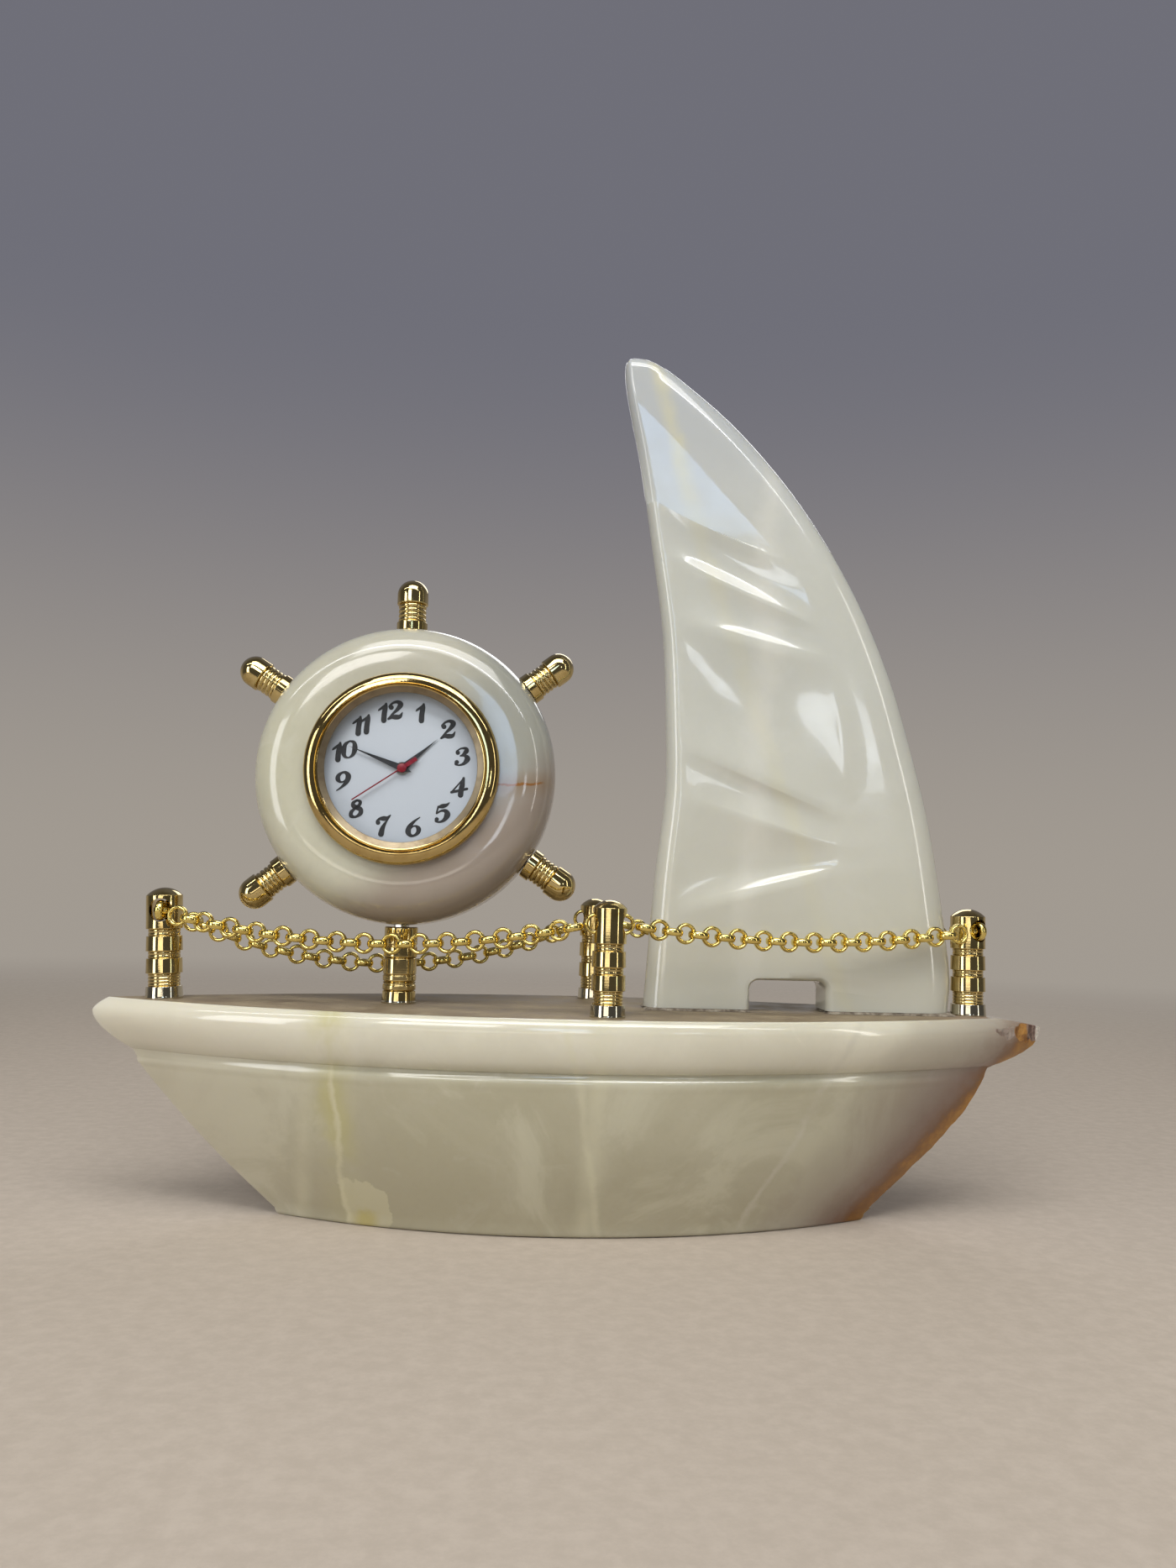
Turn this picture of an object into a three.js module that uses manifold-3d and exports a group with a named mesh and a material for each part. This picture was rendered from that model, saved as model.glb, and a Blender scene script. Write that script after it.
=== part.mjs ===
// Desk clock in the shape of a sailing boat, cut from onyx marble: a hull, a carved sail,
// a quartz clock set in a stone ship's wheel on a brass stem, and a chain rail on four posts.
// Millimetres, Z up. X runs along the boat with the bow at -X, and the dial faces -Y, the port side.
// The origin is on the table under the middle of the hull.

import * as THREE from "three";
import { mergeVertices } from "three/addons/utils/BufferGeometryUtils.js";
import Module from "manifold-3d";

const wasm = await Module();
wasm.setup();

// Hull: every level is a pointed oval made of two arcs, and the insets are from the widest level, the rim
const HULL_LENGTH = 187.4;
const HULL_BEAM = 53.0;
const HULL_HEIGHT = 40.35;
const BOTTOM_LENGTH = 114.6;
const BOTTOM_BEAM = 30.8;
const BOTTOM_EDGE_RADIUS = 1.2;
const BODY_BULGE = 1.05;
const BODY_TIP_INSET = 10.4;
const BODY_SIDE_INSET = 2.6;
const RIDGE_TIP_INSET = 8.9;
const RIDGE_SIDE_INSET = 2.3;
const RIDGE_DROP = 11.2;
const RIDGE_BAND = 2.4;
const COVE_TIP_INSET = 8.0;
const COVE_SIDE_INSET = 2.8;
const COVE_DROP = 9.7;
const DECK_EDGE_DROP = 2.6;
const DECK_EDGE_INSET = 1.6;
const DECK_TIP_INSET = 3.0;
// How full the rim is at the bow and stern: 1 is a straight taper, 2 is round
const TIP_FULLNESS = 1.7;
const CHIP_LENGTH = 8.4;
const CHIP_SETBACK = 0.35;
const CHIP_PAST_MIDDLE = 0.1;
const CHIP_HEIGHT = 8.2;
const HULL_SIDE_STEPS = 16;

// The sharp stern edge is worn blunt: [below the deck, worn back from the edge], and at the foot
const WORN_STERN = [
  [2.5, 0], [5.8, 0], [8.1, 1.1], [10, 4.2], [13.1, 3.5], [18.5, 1.4], [26, 1],
];
const WORN_AT_FOOT = 0.5;

// Sail: a curved slab that stands on the deck, carved with shallow scoops on the port face
const SAIL_FOOT_AFT_CLEARANCE = 0.5;
const SAIL_FOOT_LENGTH = 61.8;
const SAIL_HEIGHT = 132.45;
const SAIL_THICKNESS = 9.0;
const SAIL_TIP_THICKNESS = 5.6;
const SAIL_TIP_ROUND = 3.0;
const SAIL_LATERAL_OFFSET = 0.5;
const SAIL_LUFF_ROUND = 3.5;
const SAIL_LEECH_ROUND = 8.0;
const NOTCH_WIDTH = 15.2;
const NOTCH_HEIGHT = 5.7;
const NOTCH_CORNER = 1.6;
const NOTCH_BEVEL = 1.6;
const NOTCH_FROM_LUFF = 20.7;
const CEMENT_THICKNESS = 0.5;
const CEMENT_MARGIN = 0.6;

// Edges of the sail from foot to tip: [aft of the edge's foot corner, share of the sail's height]
const LUFF_EDGE = [
  [0, 0], [1.7, 0.185], [3.5, 0.32], [3.3, 0.44], [2.3, 0.57], [-0.2, 0.7], [-3, 0.83], [-5.9, 0.935],
  [-6.6, 0.986], [-5.2, 1],
];
const LEECH_EDGE = [
  [-0.3, 0], [0, 0.07], [-3.6, 0.26], [-7.7, 0.39], [-13, 0.52], [-20.7, 0.65],
  [-31.6, 0.78], [-44.3, 0.89], [-56.3, 0.966], [-61.4, 0.99], [-64.4, 1],
];
// The inner edge of the plain rim along the leech, from the leech's foot corner
const RIM_EDGE = [
  [-27, 0], [-23.6, 0.214], [-21.7, 0.32], [-23, 0.434], [-25.7, 0.534], [-30.6, 0.64], [-36.5, 0.7],
  [-45.5, 0.777], [-53.5, 0.86], [-59.1, 0.9], [-64.2, 0.94], [-66, 1],
];
// Scoops from the foot up. Each starts at an arris, at a share of the height at the luff and at the rim.
const SCOOPS = [
  { luff: 0, rim: 0, depth: 0.5, rows: 3 },
  { luff: 0.136, rim: 0.214, depth: 1.5, rows: 4 },
  { luff: 0.315, rim: 0.243, depth: 0.8, rows: 3 },
  { luff: 0.389, rim: 0.286, depth: 1.6, rows: 6 },
  { luff: 0.584, rim: 0.532, depth: 0.9, rows: 3 },
  { luff: 0.685, rim: 0.58, depth: 1.0, rows: 3 },
  { luff: 0.766, rim: 0.683, depth: 1.6, rows: 6 },
  { luff: 0.94, rim: 0.94, depth: 0, rows: 5 },
];

// Rail posts: turned brass, the chain runs through a cross hole in each head
const BOW_POST_FROM_TIP = 13.4;
const STERN_POST_FROM_TIP = 15.4;
const SIDE_POST_AFT_OF_MIDDLE = 4.0;
const SIDE_POST_FROM_RIM = 7.15;
const END_POST_RADIUS = 3.43;
const SIDE_POST_RADIUS = 3.15;
const POST_FOOT_HEIGHT = 2.3;
const POST_FOOT_FLARE = 0.12;
const POST_RIBBED_HEIGHT = 2.5;
const POST_BAND_HEIGHT = 2.85;
const POST_GROOVE_HEIGHT = 1.4;
const POST_GROOVE_DEPTH = 0.42;
const POST_HEAD_HEIGHT = 6.4;
const POST_DOME_HEIGHT = 1.55;
const CHAIN_HOLE_RADIUS = 2.2;
const CHAIN_HOLE_BELOW_DOME = 2.75;
const BOW_POST_LEAN = THREE.MathUtils.degToRad(3.0);
const STERN_HOLE_TURN = THREE.MathUtils.degToRad(25.0);
const POST_STUD_RADIUS = 1.2;
const POST_STUD_LENGTH = 11.0;

// Chain: round links of flat wire, each at right angles to the next
const LINK_OUTER_RADIUS = 1.9;
const LINK_WIRE = 0.64;
const LINK_WIDTH = 1.4;
const LINK_BITE = 0.12;
const LINKS_IN_POST = 3;
const CHAIN_DROP_IN_HOLE = 0.1;
const CHAIN_CLEARANCE = 0.3;
const CHAIN_END_ASIDE = 2.9;
const PORT_BOW_SPAN = { sag: 4.3, drop: 0.6 };
const STARBOARD_BOW_SPAN = { sag: 8.2, drop: 1.8 };
const PORT_STERN_SPAN = { sag: 2.3, drop: 0.4 };
const STARBOARD_STERN_SPAN = { sag: 4.6, drop: 0.8 };

// Stem that carries the wheel
const WHEEL_FORWARD_OF_MIDDLE = 35.4;
const STEM_RADIUS = 3.25;
const STEM_COLLAR_HEIGHT = 2.5;
const STEM_RING_HEIGHT = 1.75;
const STEM_BARREL_HEIGHT = 4.55;
const STEM_NECK_HEIGHT = 6.0;
const STEM_GROOVE = 0.35;
const STEM_ROD_RADIUS = 1.5;
const STEM_ROD_IN_HULL = 9.0;
const STEM_ROD_IN_WHEEL = 8.0;

// Wheel: a stone ring with five brass handles
const WHEEL_RADIUS = 29.35;
const WHEEL_THICKNESS = 19.4;
const WHEEL_FACE_RADIUS = 22.0;
const WHEEL_EDGE_DEPTH = 7.4;
const WHEEL_BORE_RADIUS = 17.0;
const WHEEL_TILT_BACK = THREE.MathUtils.degToRad(3.7);
const WHEEL_TURN = THREE.MathUtils.degToRad(1.7);
const HANDLE_ANGLES = [-1, 52, 124, -130, -57].map((angle) => THREE.MathUtils.degToRad(angle));
const HANDLE_NAMES = ["top", "aft_upper", "aft_lower", "bow_lower", "bow_upper"];
const HANDLE_GAP = 0.1;
const HANDLE_COLLAR_RADIUS = 3.1;
const HANDLE_COLLAR_HEIGHT = 1.9;
const HANDLE_NECK_RADIUS = 2.8;
const HANDLE_NECK_HEIGHT = 3.7;
const HANDLE_NECK_GROOVE = 0.35;
const HANDLE_NECK_BEADS = 3;
const HANDLE_BULB_RADIUS = 3.12;
const HANDLE_BULB_HEIGHT = 5.2;
const HANDLE_STUD_RADIUS = 1.1;
const HANDLE_STUD_IN_WHEEL = 5.0;
const HANDLE_STUD_IN_HANDLE = 4.0;

// Clock insert: distances forward are measured from the front face of the wheel
const DIAL_TURN = THREE.MathUtils.degToRad(-13.6);
const BEZEL_RADIUS = 18.6;
const BEZEL_HEIGHT = 2.5;
const BEZEL_LIP_RADIUS = 14.55;
const BEZEL_RIDGE_RADIUS = 16.5;
const BEZEL_EDGE_HEIGHT = 0.7;
const BEZEL_SHOULDER_DROP = 0.5;
const BEZEL_LIP_HEIGHT = 0.2;
const CRYSTAL_RADIUS = 15.3;
const CRYSTAL_THICKNESS = 0.8;
const CRYSTAL_FORWARD = 0.95;
const DIAL_RADIUS = 15.2;
const DIAL_THICKNESS = 0.4;
const DIAL_BEHIND_FACE = 0.35;
const DIAL_HOLE_RADIUS = 1.3;
const HAND_THICKNESS = 0.15;
const HAND_SPACING = 0.3;
const HOUR_HAND = { length: 8.7, width: 1.3, tail: 1.2, hub: 0.9, angle: 61.5 };
const MINUTE_HAND = { length: 11.1, width: 1.2, tail: 2.0, hub: 0.9, angle: -55.2 };
const SECOND_HAND = { length: 11.2, width: 0.24, tail: 3.3, tailWidth: 0.8, hub: 0.85, angle: -111.3 };
const ARBOR_RADIUS = 0.3;
const CASE_RADIUS = 16.0;
const CASE_WALL = 0.5;
const CASE_FLANGE_DEPTH = 2.4;
const BARREL_RADIUS = 13.4;
const BARREL_DEPTH = 8.4;
const GRIP_RING_WIDTH = 1.6;
const MOVEMENT_RADIUS = 9.4;
const MOVEMENT_THICKNESS = 3.9;
const BATTERY_RADIUS = 3.4;
const BATTERY_THICKNESS = 2.6;
const BATTERY_OFFSET = 4.4;
const CASE_BACK_THICKNESS = 0.6;
const CROWN_RADIUS = 1.4;
const CROWN_LENGTH = 1.1;
const CROWN_STEM_RADIUS = 0.4;

// Fits
const BORE_CLEARANCE = 0.15;
const SEAT_GAP = 0.3;
const ROUND_STEPS = 36;
const INNER_STEPS = 24;
const TURNED_STEPS = 12;
const ROD_STEPS = 8;
const LINK_STEPS = 6;

// Places that follow from the sizes
const deckZ = HULL_HEIGHT;
const bowPostX = -HULL_LENGTH / 2 + BOW_POST_FROM_TIP;
const sternPostX = HULL_LENGTH / 2 - STERN_POST_FROM_TIP;
const sidePostY = HULL_BEAM / 2 - SIDE_POST_FROM_RIM;
const wheelX = -WHEEL_FORWARD_OF_MIDDLE;
const stemHeight = STEM_COLLAR_HEIGHT + STEM_RING_HEIGHT + STEM_BARREL_HEIGHT + STEM_NECK_HEIGHT;
const wheelZ = deckZ + stemHeight + SEAT_GAP + WHEEL_RADIUS;
const wheelFace = WHEEL_THICKNESS / 2;
const postHeight =
  POST_FOOT_HEIGHT +
  POST_RIBBED_HEIGHT +
  2 * (POST_BAND_HEIGHT + POST_GROOVE_HEIGHT) +
  POST_HEAD_HEIGHT +
  POST_DOME_HEIGHT;
const chainHoleHeight = postHeight - POST_DOME_HEIGHT - CHAIN_HOLE_BELOW_DOME;
const linkPitch = 2 * (LINK_OUTER_RADIUS - LINK_WIRE) + LINK_BITE;
const sailAftX = sternPostX - END_POST_RADIUS - SAIL_FOOT_AFT_CLEARANCE;
const sailFootZ = deckZ + CEMENT_THICKNESS;

const materials = {
  onyx: { color: 0xcdc9b4, roughness: 0.18, metalness: 0 },
  brass: { color: 0xb08a3c, roughness: 0.22, metalness: 1 },
  chain: { color: 0xd8ae3a, roughness: 0.25, metalness: 1 },
  cement: { color: 0x9a8f80, roughness: 0.95, metalness: 0 },
  glass: { color: 0xf2f6f8, roughness: 0.03, metalness: 0 },
  dial: { color: 0xe9ebf2, roughness: 0.5, metalness: 0 },
  blackPaint: { color: 0x111113, roughness: 0.35, metalness: 0 },
  redPaint: { color: 0x8e1020, roughness: 0.35, metalness: 0 },
  steel: { color: 0xa9abae, roughness: 0.3, metalness: 1 },
  plastic: { color: 0xe6e4dc, roughness: 0.55, metalness: 0 },
  rubber: { color: 0x2a2a2c, roughness: 0.85, metalness: 0 },
};

const clock = new THREE.Group();

function addMesh(parent, name, geometry, material) {
  const mesh = new THREE.Mesh(geometry, new THREE.MeshStandardMaterial(materials[material]));
  mesh.name = name;
  parent.add(mesh);
  return mesh;
}

// A closed geometry as a manifold solid.
function solidFrom(geometry) {
  const bare = geometry.clone();
  bare.deleteAttribute("normal");
  bare.deleteAttribute("uv");
  const merged = mergeVertices(bare, 1e-4);
  return new wasm.Manifold(
    new wasm.Mesh({
      numProp: 3,
      vertProperties: merged.attributes.position.array,
      triVerts: new Uint32Array(merged.index.array),
    }),
  );
}

function geometryFrom(solid) {
  const mesh = solid.getMesh();
  return new THREE.BufferGeometry()
    .setAttribute("position", new THREE.BufferAttribute(mesh.vertProperties, 3))
    .setIndex(new THREE.BufferAttribute(mesh.triVerts, 1));
}

function cut(geometry, cutters) {
  const solid = cutters.reduce((rest, cutter) => rest.subtract(solidFrom(cutter)), solidFrom(geometry));
  return geometryFrom(solid);
}

function join(geometries) {
  return geometryFrom(geometries.map(solidFrom).reduce((sum, piece) => sum.add(piece)));
}

// A solid of revolution about Z from [radius, height] points listed upwards.
function turned(profile, steps) {
  const points = profile.map(([radius, height]) => new THREE.Vector2(radius, height));
  return new THREE.LatheGeometry(points, steps).rotateX(Math.PI / 2);
}

// A rod along Z between two heights.
function rod(radius, from, to, steps = ROD_STEPS) {
  return turned([[0, from], [radius, from], [radius, to], [0, to]], steps);
}

// A ring along Z: a tube with a square section.
function tube(inner, outer, from, to, steps = ROUND_STEPS) {
  return turned([[inner, from], [outer, from], [outer, to], [inner, to], [inner, from]], steps);
}

// Turns a piece made along Z so that its top points out of the dial, towards -Y.
function facing(geometry) {
  return geometry.rotateX(Math.PI / 2);
}

// Joins closed outlines of equally many points, listed anticlockwise from above, into one solid.
function loft(outlines) {
  const count = outlines[0].length;
  const top = (outlines.length - 1) * count;
  const positions = outlines.flat().flatMap((point) => point.toArray());
  const index = [];
  for (let level = 0; level < top; level += count) {
    for (let i = 0; i < count; i++) {
      const a = level + i;
      const b = level + ((i + 1) % count);
      index.push(a, b, b + count, a, b + count, a + count);
    }
  }
  for (let i = 1; i < count - 1; i++) {
    index.push(0, i + 1, i);
    index.push(top, top + i, top + i + 1);
  }
  return new THREE.BufferGeometry()
    .setAttribute("position", new THREE.Float32BufferAttribute(positions, 3))
    .setIndex(index);
}

// Hull

// A pointed oval at one height: two arcs that meet at the bow and the stern.
function pointedOval(halfLength, halfBeam, z) {
  const radius = (halfLength ** 2 + halfBeam ** 2) / (2 * halfBeam);
  const reach = Math.asin(halfLength / radius);
  const side = (sign, i) => {
    const angle = sign * reach * ((2 * i) / HULL_SIDE_STEPS - 1);
    const offset = radius * Math.cos(angle) - (radius - halfBeam);
    return new THREE.Vector3(radius * Math.sin(angle), -sign * offset, z);
  };
  const steps = [...Array(HULL_SIDE_STEPS).keys()];
  return [...steps.map((i) => side(1, i)), ...steps.map((i) => side(-1, i))];
}

function hullLevels() {
  const rim = { l: HULL_LENGTH / 2, b: HULL_BEAM / 2, z: deckZ - DECK_EDGE_DROP };
  const cove = { l: rim.l - COVE_TIP_INSET, b: rim.b - COVE_SIDE_INSET, z: deckZ - COVE_DROP };
  const ridge = { l: rim.l - RIDGE_TIP_INSET, b: rim.b - RIDGE_SIDE_INSET, z: deckZ - RIDGE_DROP };
  const body = { l: rim.l - BODY_TIP_INSET, b: rim.b - BODY_SIDE_INSET, z: ridge.z - RIDGE_BAND };
  const bottom = { l: BOTTOM_LENGTH / 2, b: BOTTOM_BEAM / 2, z: BOTTOM_EDGE_RADIUS };
  const levels = [];
  const arc = (from, to, steps, l, b, z) => {
    for (let i = 0; i < steps; i++) {
      const angle = from + ((to - from) * i) / steps;
      levels.push([l(angle), b(angle), z(angle)]);
    }
  };
  arc(0, Math.PI / 2, 2,
    (a) => bottom.l - BOTTOM_EDGE_RADIUS * (1 - Math.sin(a)),
    (a) => bottom.b - BOTTOM_EDGE_RADIUS * (1 - Math.sin(a)),
    (a) => BOTTOM_EDGE_RADIUS * (1 - Math.cos(a)));
  for (let i = 0; i < 4; i++) {
    const share = i / 4;
    const bulge = BODY_BULGE * Math.sin(Math.PI * share);
    levels.push([
      THREE.MathUtils.lerp(bottom.l, body.l, share) + bulge,
      THREE.MathUtils.lerp(bottom.b, body.b, share) + bulge,
      THREE.MathUtils.lerp(bottom.z, body.z, share),
    ]);
  }
  levels.push([body.l, body.b, body.z]);
  levels.push([ridge.l, ridge.b, ridge.z]);
  arc(0, Math.PI / 2, 3,
    (a) => rim.l - COVE_TIP_INSET * Math.cos(a) ** TIP_FULLNESS,
    (a) => cove.b + (rim.b - cove.b) * Math.sin(a),
    (a) => rim.z - (rim.z - cove.z) * Math.cos(a));
  arc(0, Math.PI / 2, 3,
    (a) => rim.l - DECK_TIP_INSET * Math.sin(a) ** TIP_FULLNESS,
    (a) => rim.b - DECK_EDGE_INSET * (1 - Math.cos(a)),
    (a) => rim.z + DECK_EDGE_DROP * Math.sin(a));
  levels.push([rim.l - DECK_TIP_INSET, rim.b - DECK_EDGE_INSET, deckZ]);
  return levels;
}

// The port cheek of the stern tip is broken away along a flat face.
function sternChip() {
  const from = new THREE.Vector2(HULL_LENGTH / 2 - CHIP_LENGTH, -halfBeamAt(HULL_LENGTH / 2 - CHIP_LENGTH));
  const to = new THREE.Vector2(HULL_LENGTH / 2 - CHIP_SETBACK, CHIP_PAST_MIDDLE);
  const size = 4 * CHIP_LENGTH;
  return new THREE.BoxGeometry(size, size, CHIP_HEIGHT + 1)
    .translate(0, -size / 2, (1 - CHIP_HEIGHT) / 2)
    .rotateZ(to.clone().sub(from).angle())
    .translate(from.x, from.y, deckZ);
}

// Half the width of the hull's widest level at a place along it.
function halfBeamAt(x) {
  const radius = (HULL_LENGTH ** 2 + HULL_BEAM ** 2) / (4 * HULL_BEAM);
  return Math.sqrt(radius ** 2 - x ** 2) - (radius - HULL_BEAM / 2);
}

// Half the length of the hull at a height.
function halfLengthAt(z) {
  const levels = hullLevels();
  const above = levels.findIndex((level) => level[2] > z);
  const [lowLength, , lowZ] = levels[above - 1];
  const [highLength, , highZ] = levels[above];
  return THREE.MathUtils.mapLinear(z, lowZ, highZ, lowLength, highLength);
}

// Everything aft of the worn line.
function sternWear() {
  const footZ = 2 * BOTTOM_EDGE_RADIUS;
  const heights = [...WORN_STERN.map(([below]) => deckZ - below), footZ];
  const setbacks = [...WORN_STERN.map(([, setback]) => setback), WORN_AT_FOOT];
  const outline = heights.map((z, i) => new THREE.Vector2(halfLengthAt(z) - setbacks[i], z));
  const behind = HULL_LENGTH / 2 + 1;
  outline.push(new THREE.Vector2(behind, footZ));
  outline.push(new THREE.Vector2(behind, heights[0]));
  return new THREE.ExtrudeGeometry(new THREE.Shape(outline), { depth: HULL_BEAM, bevelEnabled: false })
    .translate(0, 0, -HULL_BEAM / 2)
    .rotateX(Math.PI / 2);
}

function hullGeometry() {
  const body = loft(hullLevels().map(([l, b, z]) => pointedOval(l, b, z)));
  const studBore = boreFor(POST_STUD_RADIUS, POST_STUD_LENGTH / 2);
  const bores = posts.map((post) => studBore.clone().translate(post.x, post.y, deckZ));
  bores.push(boreFor(STEM_ROD_RADIUS, STEM_ROD_IN_HULL).translate(wheelX, 0, deckZ));
  return cut(body, [...bores, sternWear(), sternChip()]);
}

// A blind bore down from Z = 0 for a stud of the given radius and depth.
function boreFor(radius, depth) {
  return rod(radius + BORE_CLEARANCE, -depth - SEAT_GAP, 1);
}

// Sail

function smoothEdge(points) {
  const along = points.map(([x, share]) => new THREE.Vector3(x, 0, share * SAIL_HEIGHT));
  return new THREE.CatmullRomCurve3(along);
}

const luffEdge = smoothEdge(LUFF_EDGE);
const leechEdge = smoothEdge(LEECH_EDGE);
const rimEdge = smoothEdge(RIM_EDGE);

// The X of an edge at a height above the foot.
function edgeAt(edge, height) {
  let low = 0;
  let high = 1;
  for (let i = 0; i < 30; i++) {
    const middle = (low + high) / 2;
    if (edge.getPoint(middle).z < height) low = middle;
    else high = middle;
  }
  return edge.getPoint(low).x;
}

// Half the thickness of the slab at a height.
function sailHalfThickness(height) {
  const intoTip = Math.max(0, (height - SAIL_HEIGHT + SAIL_TIP_ROUND) / SAIL_TIP_ROUND);
  const plain = THREE.MathUtils.lerp(SAIL_THICKNESS, SAIL_TIP_THICKNESS, height / SAIL_HEIGHT) / 2;
  return plain * Math.sqrt(1 - 0.85 * intoTip ** 2);
}

// A row of the sail: a closed outline that runs along the arrises to port and returns to starboard.
function sailRow(luffHeight, rimHeight, carving) {
  const scooped = 4;
  const ellipse = (share) => Math.sqrt(1 - (1 - share) ** 2);
  const near = [];
  const place = (across, shareOut, isLeech) => {
    const height = THREE.MathUtils.lerp(luffHeight, rimHeight, across);
    const luffX = sailAftX - SAIL_FOOT_LENGTH + edgeAt(luffEdge, height);
    const leechX = sailAftX + edgeAt(leechEdge, height);
    const rimX = sailAftX + edgeAt(rimEdge, height);
    const luffRound = Math.min(SAIL_LUFF_ROUND, 0.4 * (rimX - luffX));
    const leechRound = Math.min(SAIL_LEECH_ROUND, 0.9 * (leechX - rimX));
    const x = isLeech
      ? leechX - leechRound * shareOut
      : THREE.MathUtils.lerp(luffX + luffRound * shareOut, rimX, across);
    const thick = sailHalfThickness(height) * ellipse(shareOut);
    const carved = Math.min(carving * Math.sqrt(Math.sin(Math.PI * across)), thick / 2);
    near.push({ x, z: sailFootZ + height, thick, carved });
  };
  [0, 0.15, 0.5].forEach((share) => place(0, share, false));
  for (let i = 0; i <= scooped; i++) place(i / scooped, 1, false);
  [1, 0.55, 0.2, 0].forEach((share) => place(1, share, true));
  const port = near.map((p) => new THREE.Vector3(p.x, SAIL_LATERAL_OFFSET - p.thick + p.carved, p.z));
  const starboard = near.map((p) => new THREE.Vector3(p.x, SAIL_LATERAL_OFFSET + p.thick, p.z));
  return [...port.slice(0, -1), ...starboard.slice(1).reverse()];
}

function sailBody() {
  const rows = [];
  SCOOPS.forEach((scoop, i) => {
    const next = SCOOPS[i + 1] ?? { luff: 1, rim: 1 };
    for (let row = 0; row < scoop.rows; row++) {
      const share = row / scoop.rows;
      const luffHeight = SAIL_HEIGHT * THREE.MathUtils.lerp(scoop.luff, next.luff, share);
      const rimHeight = SAIL_HEIGHT * THREE.MathUtils.lerp(scoop.rim, next.rim, share);
      rows.push(sailRow(luffHeight, rimHeight, scoop.depth * Math.sin(Math.PI * share)));
    }
  });
  rows.push(sailRow(SAIL_HEIGHT, SAIL_HEIGHT, 0));
  return loft(rows);
}

// A rounded arch through the foot of the sail, with its upper edge on the port face bevelled.
function notchCutters() {
  const half = NOTCH_WIDTH / 2;
  const middle = sailAftX - SAIL_FOOT_LENGTH + NOTCH_FROM_LUFF + half;
  const arch = new THREE.Shape()
    .moveTo(-half, -1)
    .lineTo(half, -1)
    .lineTo(half, NOTCH_HEIGHT - NOTCH_CORNER)
    .quadraticCurveTo(half, NOTCH_HEIGHT, half - NOTCH_CORNER, NOTCH_HEIGHT)
    .lineTo(-half + NOTCH_CORNER, NOTCH_HEIGHT)
    .quadraticCurveTo(-half, NOTCH_HEIGHT, -half, NOTCH_HEIGHT - NOTCH_CORNER)
    .closePath();
  const depth = 3 * SAIL_THICKNESS;
  const through = new THREE.ExtrudeGeometry(arch, { depth, bevelEnabled: false, curveSegments: 3 })
    .translate(0, 0, -depth / 2)
    .rotateX(Math.PI / 2)
    .translate(middle, 0, sailFootZ);
  const side = NOTCH_BEVEL * Math.SQRT2;
  const bevel = new THREE.BoxGeometry(NOTCH_WIDTH - NOTCH_CORNER, side, side)
    .rotateX(Math.PI / 4)
    .translate(middle, SAIL_LATERAL_OFFSET - SAIL_THICKNESS / 2, sailFootZ + NOTCH_HEIGHT);
  return [through, bevel];
}

function sailGeometry() {
  return cut(sailBody(), notchCutters());
}

// The bed of cement under one leg of the sail.
function cementGeometry(fromX, toX) {
  const half = SAIL_THICKNESS / 2 + CEMENT_MARGIN;
  const bed = new THREE.BoxGeometry(toX - fromX, 2 * half, CEMENT_THICKNESS);
  return bed.translate((fromX + toX) / 2, SAIL_LATERAL_OFFSET, deckZ + CEMENT_THICKNESS / 2);
}

// Posts and chain

const posts = [
  { name: "bow", x: bowPostX, y: 0, radius: END_POST_RADIUS, lean: -BOW_POST_LEAN, hole: 0 },
  { name: "stern", x: sternPostX, y: 0, radius: END_POST_RADIUS, lean: 0, hole: STERN_HOLE_TURN },
  {
    name: "port",
    x: SIDE_POST_AFT_OF_MIDDLE,
    y: -sidePostY,
    radius: SIDE_POST_RADIUS,
    lean: 0,
    hole: Math.PI / 2,
  },
  {
    name: "starboard",
    x: SIDE_POST_AFT_OF_MIDDLE,
    y: sidePostY,
    radius: SIDE_POST_RADIUS,
    lean: 0,
    hole: Math.PI / 2,
  },
];

// The middle of the chain where it passes through a post.
function chainCentre(post) {
  const height = chainHoleHeight - CHAIN_DROP_IN_HOLE;
  const aft = height * Math.sin(post.lean);
  return new THREE.Vector3(post.x + aft, post.y, deckZ + height * Math.cos(post.lean));
}

// The direction of a post's hole, out of its port or aft mouth.
function holeDirection(post) {
  return new THREE.Vector3(Math.sin(post.hole), -Math.cos(post.hole), 0);
}

function postGeometry(post) {
  const r = post.radius;
  const waist = r - POST_GROOVE_DEPTH;
  const profile = [[0, -1], [r + POST_FOOT_FLARE, -1], [r + POST_FOOT_FLARE / 2, POST_FOOT_HEIGHT]];
  let height = POST_FOOT_HEIGHT;
  const groove = (tall, top) => {
    profile.push([waist, height], [waist, height + tall]);
    height += tall;
    profile.push([r, height], [r, height + top]);
    height += top;
  };
  groove(POST_RIBBED_HEIGHT, POST_BAND_HEIGHT);
  groove(POST_GROOVE_HEIGHT, POST_BAND_HEIGHT);
  groove(POST_GROOVE_HEIGHT, POST_HEAD_HEIGHT);
  profile.push([r * 0.72, height + POST_DOME_HEIGHT * 0.62], [0, height + POST_DOME_HEIGHT]);
  const hole = rod(CHAIN_HOLE_RADIUS, -2 * r, 2 * r, 12)
    .rotateX(Math.PI / 2)
    .rotateZ(post.hole)
    .translate(0, 0, chainHoleHeight);
  const shaft = cut(turned(profile, TURNED_STEPS), [hole]).rotateY(post.lean);
  const belowDeck = new THREE.BoxGeometry(4 * r, 4 * r, 2 * r).translate(0, 0, -r);
  const studBore = boreFor(POST_STUD_RADIUS, POST_STUD_LENGTH / 2).rotateX(Math.PI);
  return cut(shaft, [belowDeck, studBore]);
}

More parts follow.
